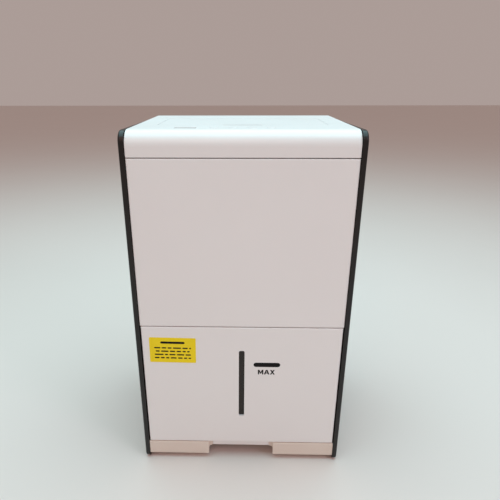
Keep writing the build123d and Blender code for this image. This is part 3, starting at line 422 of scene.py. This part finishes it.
# Closed-cell foam of the float.
WHITE_FOAM = Finish("white_foam_cut", "#E6E5DF", "#DCDAD2", 0.85, 0.05, 0.8, 0.12)
# Woven nylon of the air filter, dyed black.
NYLON_NET = Finish("black_nylon_woven", "#202124", "#2A2B2F", 0.55, 0.08, 0.4, 0.02, ior=1.53)
# Compressor shell: black gloss enamel over pressed steel, with shallow waves from dipping.
ENAMEL = Finish("black_enamel_dipped", "#141416", "#1B1B1E", 0.22, 0.06, 6.0, 0.05, coat=0.5)
# Green solder mask over glass-fibre board.
SOLDER_MASK = Finish("green_solder_mask", "#12502C", "#0F4526", 0.3, 0.06, 0.6, 0.01, coat=0.3)
# Bare sintered magnet.
SINTERED = Finish("dark_sintered_magnet", "#3B3B3E", "#454548", 0.6, 0.08, 0.4, 0.03, metallic=1.0)
# Zinc-plated steel of screws and brackets.
ZINC = Drawn(
    "zinc_plated_steel", "#C4C6C4", "#B2B1A6", 0.3, 0.08, 0.4, 0.008, metallic=1.0, drift_mm=12
)
# Turned steel of the shaft and the motor's case.
STEEL = Drawn("turned_steel", "#A9AAAD", "#9A9BA0", 0.32, 0.08, 0.5, 0.01, metallic=1.0, drift_mm=30)
# Drawn copper tube, warm, with darker handling marks.
COPPER = Drawn(
    "drawn_copper_tube", "#C77A50", "#A6603D", 0.28, 0.1, 0.5, 0.008, metallic=1.0, drift_mm=30
)
# Rolled aluminium fin stock, bright.
FIN_STOCK = Drawn(
    "rolled_aluminium_fin", "#D6D8DB", "#C6C9CD", 0.3, 0.06, 0.4, 0.006, metallic=1.0, drift_mm=40
)
# Deep-drawn aluminium can of the capacitor.
DRAWN_CAN = Drawn(
    "drawn_aluminium_can", "#CDCFD2", "#BFC1C5", 0.25, 0.06, 0.5, 0.008,
    metallic=1.0, drift_mm=40, along=(1.0, 1.0, 0.05),
)


# ---------------------------------------------------------------- Geometry Nodes
class Pattern(Enum):
    """How copies of a piece are laid out."""

    LINE = "line"
    RING = "ring"
    PLACES = "places"


@dataclass
class Repeater:
    """Copies a small piece by Geometry Nodes and returns a plain mesh.

    Attributes:
        name: Name of the finished piece.
        unit: The piece that is repeated, made at the origin; it is removed afterwards.
        finish: The finish that Set Material gives.
    """

    name: str
    unit: bpy.types.Object
    finish: Finish

    @staticmethod
    def _sum(
        tree: bpy.types.NodeTree, operation: str, *terms: bpy.types.NodeSocket
    ) -> bpy.types.NodeSocket:
        """Adds a math node whose terms all come from other nodes.

        Args:
            tree: The tree that it goes into.
            operation: Blender's name of the operation.
            terms: The sockets it works on, in order.

        Returns:
            Its output.
        """
        links = dict(enumerate(terms))
        return add_node(tree, "ShaderNodeMath", {"operation": operation}, links=links).outputs[0]

    def _tree(self, pattern: Pattern) -> tuple[bpy.types.GeometryNodeTree, dict[str, str]]:
        """Builds the tree of a pattern, with named inputs.

        Args:
            pattern: The layout.

        Returns:
            The tree, and the socket identifier of each input name.
        """
        tree = bpy.data.node_groups.new(f"{pattern.value}_of_{self.name}", "GeometryNodeTree")
        tree.is_modifier = True
        kinds = {
            "Geometry": "NodeSocketGeometry",
            "Unit": "NodeSocketObject",
            "Count": "NodeSocketInt",
            "Start": "NodeSocketVector",
            "Step": "NodeSocketVector",
            "Radius": "NodeSocketFloat",
            "Turn": "NodeSocketFloat",
            "Finish": "NodeSocketMaterial",
        }
        names = {}
        for key, kind in kinds.items():
            names[key] = tree.interface.new_socket(key, in_out="INPUT", socket_type=kind).identifier
        tree.interface.new_socket("Geometry", in_out="OUTPUT", socket_type="NodeSocketGeometry")
        given = add_node(tree, "NodeGroupInput").outputs
        unit = add_node(tree, "GeometryNodeObjectInfo", links={"Object": given["Unit"]}).outputs["Geometry"]
        links: dict[object, bpy.types.NodeSocket] = {"Instance": unit}
        if pattern is Pattern.LINE:
            line = add_node(
                tree,
                "GeometryNodeMeshLine",
                links={"Count": given["Count"], "Start Location": given["Start"], "Offset": given["Step"]},
            )
            links["Points"] = line.outputs["Mesh"]
        elif pattern is Pattern.RING:
            line = add_node(tree, "GeometryNodeMeshLine", links={"Count": given["Count"]})
            index = add_node(tree, "GeometryNodeInputIndex").outputs["Index"]
            share = self._sum(tree, "DIVIDE", index, given["Count"])
            angle = add_node(tree, "ShaderNodeMath", {"operation": "MULTIPLY"}, {1: 2 * math.pi}, {0: share})
            sine = self._sum(tree, "SINE", angle.outputs[0])
            cosine = self._sum(tree, "COSINE", angle.outputs[0])
            across = add_node(tree, "ShaderNodeCombineXYZ", links={"X": cosine, "Z": sine})
            reach = add_node(
                tree,
                "ShaderNodeVectorMath",
                {"operation": "SCALE"},
                links={0: across.outputs[0], "Scale": given["Radius"]},
            )
            spot = add_node(
                tree,
                "ShaderNodeVectorMath",
                {"operation": "ADD"},
                links={0: reach.outputs[0], 1: given["Start"]},
            )
            moved = add_node(
                tree,
                "GeometryNodeSetPosition",
                links={"Geometry": line.outputs["Mesh"], "Position": spot.outputs[0]},
            )
            # a turn about Y carries +X towards -Z, so the angle is taken away
            back = self._sum(tree, "SUBTRACT", given["Turn"], angle.outputs[0])
            turn = add_node(tree, "ShaderNodeCombineXYZ", links={"Y": back})
            links["Points"] = moved.outputs["Geometry"]
            links["Rotation"] = turn.outputs[0]
        else:
            links["Points"] = given["Geometry"]
        copies = add_node(tree, "GeometryNodeInstanceOnPoints", links=links)
        real = add_node(tree, "GeometryNodeRealizeInstances", links={"Geometry": copies.outputs["Instances"]})
        dressed = add_node(
            tree,
            "GeometryNodeSetMaterial",
            links={"Geometry": real.outputs["Geometry"], "Material": given["Finish"]},
        )
        add_node(tree, "NodeGroupOutput", links={"Geometry": dressed.outputs["Geometry"]})
        return tree, names

    def make(
        self,
        pattern: Pattern,
        count: int = 1,
        start: Point = (0, 0, 0),
        step: Point = (0, 0, 0),
        radius: float = 0.0,
        turn: float = 0.0,
        places: Iterable[Point] = (),
    ) -> bpy.types.Object:
        """Runs the tree once and keeps its result as a plain mesh.

        Args:
            pattern: The layout.
            count: Number of copies on a line or a ring.
            start: First place on a line, or the centre of a ring.
            step: From one copy to the next on a line.
            radius: Radius of a ring about Y.
            turn: Extra turn of each copy on a ring, in radians.
            places: The places, for that layout.

        Returns:
            The finished object, at the origin.
        """
        base_mesh = bpy.data.meshes.new(f"{self.name}_points")
        base_mesh.from_pydata([tuple(p) for p in places], [], [])
        base = bpy.data.objects.new(f"{self.name}_points", base_mesh)
        bpy.context.scene.collection.objects.link(base)
        tree, names = self._tree(pattern)
        modifier = base.modifiers.new("repeat", "NODES")
        modifier.node_group = tree
        given = {
            "Unit": self.unit,
            "Count": count,
            "Start": start,
            "Step": step,
            "Radius": radius,
            "Turn": turn,
            "Finish": self.finish.material(),
        }
        for key, value in given.items():
            modifier[names[key]] = value
        graph = bpy.context.evaluated_depsgraph_get()
        mesh = bpy.data.meshes.new_from_object(base.evaluated_get(graph), depsgraph=graph)
        mesh.name = self.name
        piece = bpy.data.objects.new(self.name, mesh)
        bpy.context.scene.collection.objects.link(piece)
        base.modifiers.remove(modifier)
        for spare in (base, self.unit):
            bpy.data.objects.remove(spare)
        mesh.shade_smooth()
        mesh.set_sharp_from_angle(angle=SMOOTH_ANGLE)
        return piece


# ---------------------------------------------------------------- studio
@dataclass(frozen=True)
class Lamp:
    """A square area lamp.

    Attributes:
        name: Its name.
        place: Where it hangs.
        aim: The point it faces.
        size: Length of its side.
        watts: Its power.
        colour: Its colour as sRGB hex.
    """

    name: str
    place: Point
    aim: Point
    size: float
    watts: float
    colour: str

    def hang(self) -> None:
        """Makes the light and puts it in place."""
        data = bpy.data.lights.new(self.name, "AREA")
        data.shape = "SQUARE"
        data.size = self.size
        data.energy = self.watts
        data.color = linear(self.colour)[:3]
        lamp = bpy.data.objects.new(self.name, data)
        lamp.location = self.place
        lamp.rotation_euler = (Vector(self.aim) - Vector(self.place)).to_track_quat("-Z", "Y").to_euler()
        bpy.context.scene.collection.objects.link(lamp)


@dataclass
class Studio:
    """Floor, lights and camera.

    Attributes:
        eye: Camera place.
        yaw: Turn of the view about Z, in radians, to the right.
        pitch: Turn of the view up, in radians.
        roll: Turn about the line of sight, in radians.
        lens_mm: Focal length on a 36 mm sensor.
        shift: Small shift of the picture, as shares of its width.
        floor_half: Half the floor's side.
        surround: Colour of the light from all round, as sRGB hex.
        surround_strength: Its strength.
    """

    eye: Point = (0.0015, -0.6574, 0.5511)
    yaw: float = -0.02388
    pitch: float = -0.36191
    roll: float = -0.00206
    lens_mm: float = 31.61
    shift: tuple[float, float] = (0.0336, 0.0063)
    floor_half: float = 14.0
    surround: str = "#F7E2DB"
    surround_strength: float = 0.44

    def build(self) -> None:
        """Makes the camera, then the floor and the lights."""
        self._camera()
        self._floor()
        self._lights()

    def _camera(self) -> None:
        """The camera, at the object's front, looking down at it."""
        forward = Vector(
            (
                math.sin(self.yaw) * math.cos(self.pitch),
                math.cos(self.yaw) * math.cos(self.pitch),
                math.sin(self.pitch),
            )
        )
        right = Vector((math.cos(self.yaw), -math.sin(self.yaw), 0))
        up = right.cross(forward)
        turned_right = math.cos(self.roll) * right + math.sin(self.roll) * up
        turned_up = -math.sin(self.roll) * right + math.cos(self.roll) * up
        data = bpy.data.cameras.new("camera")
        data.sensor_width = 36.0
        data.lens = self.lens_mm
        data.shift_x, data.shift_y = self.shift
        camera = bpy.data.objects.new("camera", data)
        axes = Matrix((turned_right, turned_up, -forward)).transposed()
        camera.matrix_world = Matrix.Translation(Vector(self.eye)) @ axes.to_4x4()
        bpy.context.scene.collection.objects.link(camera)
        bpy.context.scene.camera = camera
        bpy.context.scene.view_settings.view_transform = "Standard"

    def _floor(self) -> None:
        """A plain pale floor."""
        bm = bmesh.new()
        bmesh.ops.create_grid(bm, x_segments=1, y_segments=1, size=self.floor_half)
        floor = placed_mesh("floor", bm, smooth=False)
        pale = Finish("pale_floor_matt", "#E6DBD6", "#E3D8D3", 0.8, 0.04, 4.0, 0.02, drift_mm=400)
        floor.data.materials.append(pale.material())

    def _lights(self) -> None:
        """Cool light from above, a soft warmer one from the front, and a pale surround."""
        world = bpy.data.worlds.new("studio")
        world.use_nodes = True
        background = world.node_tree.nodes["Background"].inputs
        background["Color"].default_value = linear(self.surround)
        background["Strength"].default_value = self.surround_strength
        bpy.context.scene.world = world
        lamps = (
            Lamp("lamp_top", (0.0, 0.1, 2.1), (0.0, 0.0, 0.45), 2.4, 52.0, "#BEF1F9"),
            Lamp("lamp_front", (-0.3, -1.9, 1.9), (0.0, -0.1, 0.2), 1.2, 7.2, "#FFC4B2"),
            Lamp("lamp_right", (1.5, -1.2, 1.5), (0.0, 0.0, 0.4), 0.5, 5.0, "#FFE9FA"),
        )
        for lamp in lamps:
            lamp.hang()


# ---------------------------------------------------------------- sub-assemblies
@dataclass
class Cabinet:
    """White covers between dark side panels, with feet, grips and rear screws.

    Attributes:
        screw_head: Radius of a screw's head.
        screw_rise: Height of the head above its bearing face.
        screw_sunk: How far the head's underside reaches below that face.
        rim_high: Height of the head's straight rim.
        shoulder_high: Height at which the head starts to flatten.
        recess_floor: Height of the cross recess's floor.
        recess_wide: Width of each arm of the recess.
        screw_middle: Height of the middle screws above the floor.
    """

    screw_head: float = 0.0038
    screw_rise: float = 0.0014
    screw_sunk: float = 0.0005
    rim_high: float = 0.0004
    shoulder_high: float = 0.0009
    recess_floor: float = 0.0006
    recess_wide: float = 0.0009
    screw_middle: float = 0.225

    def build(self) -> None:
        """Dresses the shell and makes the rear screws."""
        dress(WHITE_ABS, "front_cover", "top_cover", "rear_cover")
        # the base pan's darker, warmer colour is painted shade
        dress(SHADED_BASE_ABS, "base_pan")
        dress(DARK_ABS, "side_panel_left", "side_panel_right", "grip_cup_left", "grip_cup_right")
        dress(GREY_ABS, "bay_wall", "shelf")
        dress(BLACK_RUBBER, "rubber_feet", "cord_gland")
        self._screws()

    def _screws(self) -> None:
        """Pan-head screws with a cross recess, in the seats of the rear cover."""
        lo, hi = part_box("rear_screws")
        head = self.screw_head
        outline = [
            (0, -self.screw_sunk),
            (head, -self.screw_sunk),
            (head, self.rim_high),
            (head * 0.94, self.shoulder_high),
            (head * 0.7, self.screw_rise),
            (0, self.screw_rise),
        ]
        unit = placed_mesh("screw_unit", turned(outline, 24))
        reach, half, above = head * 0.6, self.recess_wide / 2, 0.003
        cutter = rounded_block((-reach, -half, self.recess_floor), (reach, half, above), 0)
        cross = rounded_block((-half, -reach, self.recess_floor), (half, reach, above), 0)
        for blade in (placed_mesh("cut_a", cutter, False), placed_mesh("cut_b", cross, False)):
            cut = unit.modifiers.new("recess", "BOOLEAN")
            cut.operation, cut.object, cut.solver = "DIFFERENCE", blade, "EXACT"
            graph = bpy.context.evaluated_depsgraph_get()
            mesh = bpy.data.meshes.new_from_object(unit.evaluated_get(graph), depsgraph=graph)
            unit.modifiers.remove(cut)
            unit.data = mesh
            bpy.data.objects.remove(blade)
        # the head looks to the rear
        unit.data.transform(Matrix.Rotation(-math.pi / 2, 4, "X"))
        y = hi.y - self.screw_rise
        xs = (lo.x + head, hi.x - head)
        zs = (lo.z + head, self.screw_middle, hi.z - head)
        places = [(x, y, z) for x in xs for z in zs]
        screws = Repeater("rear_screws_detailed", unit, ZINC).make(Pattern.PLACES, places=places)
        settle(screws, ZINC, "cabinet", "zinc_steel", "rear_screws")


@dataclass
class AirOutlet:
    """Hinged flap over a louvre of rounded blades.

    Attributes:
        blades: Number of blades.
        blade_thick: Thickness of a blade.
        blade_short: How far a blade ends inside the frame's outer sides.
        blade_round: Round of a blade's edges.
        frame_wide: Width of the frame's rails.
        rib_half: Half the width of a rib.
        frame_round: Round of the frame's edges.
        lap: How far a side rail or a rib sits inside the faces of the rails it meets.
    """

    blades: int = 9
    blade_thick: float = 0.0016
    blade_short: float = 0.001
    blade_round: float = 0.0007
    frame_wide: float = 0.0025
    rib_half: float = 0.001
    frame_round: float = 0.0005
    lap: float = 0.0002

    def build(self) -> None:
        """Dresses the flap and makes the louvre."""
        dress(WHITE_ABS, "outlet_flap")
        lo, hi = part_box("outlet_louvre")
        pitch = (hi.y - lo.y) / (self.blades + 1)
        left, right, half = lo.x + self.blade_short, hi.x - self.blade_short, self.blade_thick / 2
        blade = rounded_block((left, -half, lo.z), (right, half, hi.z), self.blade_round, 3)
        unit = placed_mesh("blade_unit", blade)
        slats = Repeater("outlet_blades", unit, GREY_ABS).make(
            Pattern.LINE, self.blades, (0, lo.y + pitch, 0), (0, pitch, 0)
        )
        settle(slats, GREY_ABS, "cabinet", "grey_abs", "outlet_louvre")
        settle(placed_mesh("outlet_louvre_frame", self._frame(lo, hi)), GREY_ABS, "cabinet", "grey_abs")

    def _frame(self, lo: Vector, hi: Vector) -> bmesh.types.BMesh:
        """Four rails and two ribs; the side rails and ribs sit a hair inside the others.

        Args:
            lo: Lowest corner of the louvre.
            hi: Its highest corner.

        Returns:
            The new bmesh.
        """
        rails = bmesh.new()
        w, lap, half = self.frame_wide, self.lap, self.rib_half
        spans = [
            ((lo.x, lo.y, lo.z), (hi.x, lo.y + w, hi.z)),
            ((lo.x, hi.y - w, lo.z), (hi.x, hi.y, hi.z)),
            ((lo.x + lap, lo.y + w / 2, lo.z + lap), (lo.x + w, hi.y - w / 2, hi.z - lap)),
            ((hi.x - w, lo.y + w / 2, lo.z + lap), (hi.x - lap, hi.y - w / 2, hi.z - lap)),
        ]
        third = (hi.x - lo.x) / 3
        for i in (1, 2):
            x = lo.x + i * third
            spans.append(((x - half, lo.y + half, lo.z + lap), (x + half, hi.y - half, hi.z - lap)))
        for a, b in spans:
            part = rounded_block(a, b, self.frame_round, 1)
            spare = bpy.data.meshes.new("spare")
            part.to_mesh(spare)
            part.free()
            rails.from_mesh(spare)
            bpy.data.meshes.remove(spare)
        return rails


@dataclass
class ControlStrip:
    """Four round buttons and a dead-front display window."""

    def build(self) -> None:
        """Dresses the controls."""
        dress(WHITE_ABS, "button_1", "button_2", "button_3", "button_4")
        dress(DEAD_FRONT, "display_lens")
        dress(SOLDER_MASK, "control_board")


# half of an A, its foot at the left, up to its middle line
HALF_A = (
    *((0, 0), (0.34, 1), (0.5, 1), (0.5, 0.74), (0.4, 0.41)),
    *((0.5, 0.41), (0.5, 0.22), (0.34, 0.22), (0.27, 0)),
)
# outlines of bold letters, as shares of their width and height
LETTERS: dict[str, list[Sequence[Spot]]] = {
    "M": [
        (
            *((0, 0), (0, 1), (0.27, 1), (0.5, 0.45), (0.73, 1), (1, 1), (1, 0), (0.76, 0), (0.76, 0.6)),
            *((0.59, 0.17), (0.41, 0.17), (0.24, 0.6), (0.24, 0)),
        )
    ],
    "A": [HALF_A, [(1 - x, y) for x, y in HALF_A[::-1]]],
    "X": [
        (
            *((0, 0), (0.34, 0.51), (0.03, 1), (0.34, 1), (0.5, 0.72), (0.66, 1), (0.97, 1)),
            *((0.66, 0.51), (1, 0), (0.69, 0), (0.5, 0.31), (0.31, 0)),
        )
    ],
}


@dataclass
class WaterTank:
    """Pull-out tank: front with its level slot and marks, clear bin, lid, handle and float.

    Attributes:
        mark_rise: Thickness of the marks on the front.
        bar_x: Ends of the bar at the full level.
        bar_z: Its height on the front.
        bar_thick: Its width.
        letters_z: Foot and head of the letters.
        letters_x: Left and right side of each letter.
        label_turn: Turn of the notice label, in radians.
        print_rise: Thickness of its print.
        heading: Height above its middle, width and length of its heading.
        first_line: Height of its first line above its middle.
        line_high: Width of a line of print.
        line_pitch: From one line to the next.
        word_gap: Between two words.
        words_mm: Lengths of the words of each line.
    """

    mark_rise: float = 0.00012
    bar_x: tuple[float, float] = (0.0177, 0.0562)
    bar_z: float = 0.1758
    bar_thick: float = 0.0072
    letters_z: tuple[float, float] = (0.1595, 0.1672)
    letters_x: tuple[tuple[float, float], ...] = ((0.0242, 0.0321), (0.0330, 0.0409), (0.0417, 0.0487))
    label_turn: float = math.radians(-0.9)
    print_rise: float = 0.00006
    heading: tuple[float, float, float] = (0.0125, 0.0036, 0.035)
    first_line: float = 0.0037
    line_high: float = 0.0021
    line_pitch: float = 0.0055
    word_gap: float = 0.0016
    words_mm: tuple[tuple[int, ...], ...] = (
        (9, 7, 6, 12, 8, 3),
        (6, 11, 8, 7, 5, 4),
        (13, 5, 9, 11, 8),
        (7, 6, 5, 9, 7, 5, 4),
    )

    def build(self) -> None:
        """Dresses the tank, then prints its marks."""
        dress(WHITE_ABS, "tank_front")
        dress(SMOKED, "level_window")
        dress(CLEAR_SAN, "tank_body", "tank_lid")
        dress(GREY_ABS, "tank_handle")
        dress(WHITE_FOAM, "tank_float")
        dress(SINTERED, "float_magnet")
        dress(YELLOW_VINYL, "notice_label")
        self._level_bar()
        self._level_letters()
        self._label_bars()

    @staticmethod
    def _add_plate(bm: bmesh.types.BMesh, outline: Sequence[Spot], y: float, thick: float) -> None:
        """Adds a thin closed plate that faces the front.

        Args:
            bm: The mesh it goes into.
            outline: Points in x and z.
            y: Depth of its back.
            thick: Thickness, towards the front.
        """
        back = [bm.verts.new((x, y, z)) for x, z in outline]
        front = [bm.verts.new((x, y - thick, z)) for x, z in outline]
        bm.faces.new(back)
        bm.faces.new(front[::-1])
        for i in range(len(outline)):
            j = (i + 1) % len(outline)
            bm.faces.new((back[i], back[j], front[j], front[i]))

    def _plate(
        self, name: str, outline: Sequence[Spot], y: float, thick: float
    ) -> bpy.types.Object:
        """A piece that is one thin closed plate.

        Args:
            name: Piece name.
            outline: Points in x and z.
            y: Depth of its back.
            thick: Thickness, towards the front.

        Returns:
            The new object.
        """
        bm = bmesh.new()
        self._add_plate(bm, outline, y, thick)
        return placed_mesh(name, bm, smooth=False)

    @staticmethod
    def _bar_outline(x: Spot, z: float, thick: float, steps: int = 10) -> list[Spot]:
        """Outline of a bar with round ends.

        Args:
            x: Its two ends.
            z: Its middle height.
            thick: Its height.
            steps: Segments in each end.

        Returns:
            Points in x and z.
        """
        r = thick / 2
        points = []
        for middle, first in ((x[1] - r, -0.5), (x[0] + r, 0.5)):
            for i in range(steps + 1):
                a = math.pi * (i / steps + first)
                points.append((middle + r * math.cos(a), z + r * math.sin(a)))
        return points

    def _level_bar(self) -> None:
        """The printed bar at the full level."""
        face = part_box("tank_front")[0].y
        outline = self._bar_outline(self.bar_x, self.bar_z, self.bar_thick)
        bar = self._plate("level_bar", outline, face, self.mark_rise)
        settle(bar, BLACK_INK, "tank", "black_pp")

    def _level_letters(self) -> None:
        """The generic word for the full level, in plain bold letters cut as outlines."""
        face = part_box("tank_front")[0].y
        low, high = self.letters_z
        for (letter, outlines), (left, right) in zip(LETTERS.items(), self.letters_x):
            for number, outline in enumerate(outlines, start=1):
                spots = [(left + x * (right - left), low + z * (high - low)) for x, z in outline]
                mark = self._plate(f"level_letter_{letter}_{number}", spots, face, self.mark_rise)
                settle(mark, BLACK_INK, "tank", "black_pp")

    def _label_bars(self) -> None:
        """Short dark bars, like words, where a notice has its lines of print."""
        lo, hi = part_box("notice_label")
        middle = ((lo.x + hi.x) / 2, lo.y, (lo.z + hi.z) / 2)
        turn = Matrix.Translation(middle) @ Matrix.Rotation(-self.label_turn, 4, "Y")
        rows = [(self.heading[0], self.heading[1], (self.heading[2],))]
        for number, row in enumerate(self.words_mm):
            z = self.first_line - number * self.line_pitch
            rows.append((z, self.line_high, tuple(w * MM for w in row)))
        for number, (z, high, widths) in enumerate(rows, start=1):
            x = -(sum(widths) + self.word_gap * (len(widths) - 1)) / 2
            bars = bmesh.new()
            for wide in widths:
                outline = self._bar_outline((x, x + wide), z, high, 3)
                self._add_plate(bars, outline, 0.0, self.print_rise)
                x += wide + self.word_gap
            line = placed_mesh(f"notice_line_{number}", bars, smooth=False)
            line.data.transform(turn)
            settle(line, BLACK_INK, "tank", "black_pp")


@dataclass
class AirFilter:
    """Pull-off rear grille with a woven net behind its slats.

    Attributes:
        net_pitch: From one thread to the next.
        thread: Thickness of a thread.
    """

    net_pitch: float = 0.0022
    thread: float = 0.0005

    def build(self) -> None:
        """Makes the woven net; the frame keeps its CAD shape."""
        dress(WHITE_ABS, "filter_frame")
        lo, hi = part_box("filter_mesh")
        y = (lo.y + hi.y) / 2
        wide, high = hi.x - lo.x, hi.z - lo.z
        half, pitch = self.thread / 2, self.net_pitch
        # the two layers of threads press into each other by a fifth where they cross
        layer = half * 0.8
        thread = rounded_block((-half, -half, lo.z), (half, half, hi.z), 0)
        upright = placed_mesh("thread_unit_a", thread, False)
        thread = rounded_block((lo.x, -half, -half), (hi.x, half, half), 0)
        across = placed_mesh("thread_unit_b", thread, False)
        columns, rows = int(wide / pitch), int(high / pitch)
        start, step = (lo.x + pitch, y - layer, 0), ((wide - pitch) / columns, 0, 0)
        warp = Repeater("filter_net_warp", upright, NYLON_NET).make(Pattern.LINE, columns, start, step)
        start, step = (0, y + layer, lo.z + pitch), (0, 0, (high - pitch) / rows)
        weft = Repeater("filter_net_weft", across, NYLON_NET).make(Pattern.LINE, rows, start, step)
        settle(warp, NYLON_NET, "air_filter", "filter_net", "filter_mesh")
        settle(weft, NYLON_NET, "air_filter", "filter_net")


@dataclass
class CoolingCircuit:
    """Compressor, two finned coils and the pipes between them.

    Attributes:
        fin_pitch: From one fin to the next.
        fin_thick: Thickness of a fin.
    """

    fin_pitch: float = 0.0022
    fin_thick: float = 0.0003

    def build(self) -> None:
        """Dresses the circuit and makes the fin stacks."""
        dress(ENAMEL, "compressor")
        dress(STEEL, "compressor_core")
        dress(BLACK_PP, "terminal_cover")
        dress(BLACK_RUBBER, "compressor_grommets")
        dress(ZINC, "compressor_bolts")
        dress(COPPER, "discharge_pipe", "suction_pipe", "liquid_pipe", "capillary_tube", "filter_drier")
        dress(COPPER, "evaporator_tube", "condenser_tube")
        dress(GREY_ABS, "drip_tray", "drain_spigot")
        dress(BLACK_RUBBER, "drain_plug")
        for name in ("evaporator", "condenser"):
            lo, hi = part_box(f"{name}_fins")
            half = self.fin_thick / 2
            fin = rounded_block((-half, lo.y, lo.z), (half, hi.y, hi.z), 0)
            unit = placed_mesh("fin_unit", fin, False)
            count = int((hi.x - lo.x) / self.fin_pitch)
            stack = Repeater(f"{name}_fin_stack", unit, FIN_STOCK).make(
                Pattern.LINE, count, (lo.x + self.fin_pitch / 2, 0, 0), (self.fin_pitch, 0, 0)
            )
            settle(stack, FIN_STOCK, "cabinet", "fin_aluminium", f"{name}_fins")


@dataclass
class Fan:
    """Centrifugal wheel with curved blades in its scroll, and its motor.

    Attributes:
        blades: Number of blades.
        blade_deep: Depth of a blade, from its outer to its inner edge.
        blade_thick: Its thickness.
        blade_bow: How far it bows out.
        blade_turn: Its turn from the radius.
        blade_inset: From the wheel's rim in to the blades' middle.
        disc: Thickness of the back disc and of the front ring.
        hub_radius: Radius of the hub.
        hub_long: Length of the hub, with the disc.
        hub_foot: How far the hub flares out at the disc.
        hub_chamfer: Chamfer at its other end.
        bore: Radius of its bore.
    """

    blades: int = 28
    blade_deep: float = 0.011
    blade_thick: float = 0.0012
    blade_bow: float = 0.0022
    blade_turn: float = math.radians(35)
    blade_inset: float = 0.007
    disc: float = 0.002
    hub_radius: float = 0.011
    hub_long: float = 0.020
    hub_foot: float = 0.003
    hub_chamfer: float = 0.001
    bore: float = 0.00405

    def build(self) -> None:
        """Dresses the scroll and motor, then makes the wheel and its blades."""
        dress(GREY_ABS, "fan_scroll", "inlet_ring")
        dress(STEEL, "fan_shaft", "fan_motor")
        dress(ZINC, "motor_bracket")
        lo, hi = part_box("fan_wheel")
        radius = (hi.x - lo.x) / 2
        height = (hi.z + lo.z) / 2
        settle(self._wheel(lo.y, hi.y, radius, height), BLACK_PP, "fan", "black_pp", "fan_wheel")
        ring = Repeater("fan_blades", self._blade(lo.y, hi.y), BLACK_PP)
        reach = radius - self.blade_inset
        blades = ring.make(Pattern.RING, self.blades, (0, 0, height), radius=reach, turn=self.blade_turn)
        settle(blades, BLACK_PP, "fan", "black_pp")

    def _wheel(self, front: float, rear: float, radius: float, height: float) -> bpy.types.Object:
        """The back disc with its hub, and the front ring.

        Args:
            front: Lowest y.
            rear: Highest y.
            radius: Outer radius.
            height: Height of the axis.

        Returns:
            The new object.
        """
        disc, inner = self.disc, radius - self.blade_deep - self.disc
        hub, chamfer, end = self.hub_radius, self.hub_chamfer, front + self.hub_long
        profiles = (
            (
                (self.bore, front),
                (radius, front),
                (radius, front + disc),
                (hub + self.hub_foot, front + disc),
                (hub, front + 2 * disc),
                (hub, end - chamfer),
                (hub - chamfer, end),
                (self.bore, end),
            ),
            ((inner, rear - disc), (radius, rear - disc), (radius, rear), (inner, rear)),
        )
        bm = bmesh.new()
        for profile in profiles:
            self._add_turned(bm, profile, height)
        return placed_mesh("fan_wheel_discs", bm)

    @staticmethod
    def _add_turned(
        bm: bmesh.types.BMesh, profile: Sequence[Spot], height: float, steps: int = 64
    ) -> None:
        """Turns a closed profile about the fan's axis.

        Args:
            bm: The mesh it goes into.
            profile: Points in radius and y, off the axis.
            height: Height of the axis.
            steps: Segments round it.
        """
        rings = []
        for i in range(steps):
            angle = 2 * math.pi * i / steps
            across, up = math.cos(angle), math.sin(angle)
            rings.append([bm.verts.new((r * across, y, height + r * up)) for r, y in profile])
        for i, ring in enumerate(rings):
            following = rings[(i + 1) % steps]
            for j in range(len(profile)):
                k = (j + 1) % len(profile)
                bm.faces.new((ring[j], ring[k], following[k], following[j]))

    def _blade(self, front: float, rear: float, steps: int = 8) -> bpy.types.Object:
        """One bowed blade, its middle on the Y axis.

        Args:
            front: Lowest y.
            rear: Highest y.
            steps: Segments along its bow.

        Returns:
            The unit for the repeater.
        """
        bm = bmesh.new()
        loops = []
        for y in (front + self.disc / 2, rear - self.disc / 2):
            outer, inner = [], []
            for i in range(steps + 1):
                t = 2 * i / steps - 1
                bow = self.blade_bow * (1 - t * t) - self.blade_bow / 2
                outer.append(bm.verts.new((t * self.blade_deep / 2, y, bow + self.blade_thick / 2)))
                inner.append(bm.verts.new((t * self.blade_deep / 2, y, bow - self.blade_thick / 2)))
            loops.append(outer + inner[::-1])
        bm.faces.new(loops[0])
        bm.faces.new(loops[1][::-1])
        count = len(loops[0])
        for i in range(count):
            j = (i + 1) % count
            bm.faces.new((loops[0][i], loops[0][j], loops[1][j], loops[1][i]))
        return placed_mesh("blade_unit", bm)


@dataclass
class Electrics:
    """Boards, capacitor and sensors."""

    def build(self) -> None:
        """Dresses the electrical pieces."""
        dress(BLACK_PP, "electrics_box", "humidity_sensor", "tank_sensor")
        dress(SOLDER_MASK, "power_board")
        dress(DRAWN_CAN, "run_capacitor")


def main() -> None:
    """Builds the studio, then every sub-assembly in order."""
    logging.basicConfig(level=logging.INFO, format="%(message)s")
    for part in (
        Studio(),
        Cabinet(),
        AirOutlet(),
        ControlStrip(),
        WaterTank(),
        AirFilter(),
        CoolingCircuit(),
        Fan(),
        Electrics(),
    ):
        log.info("building %s", type(part).__name__)
        part.build()


if __name__ == "__main__":
    main()
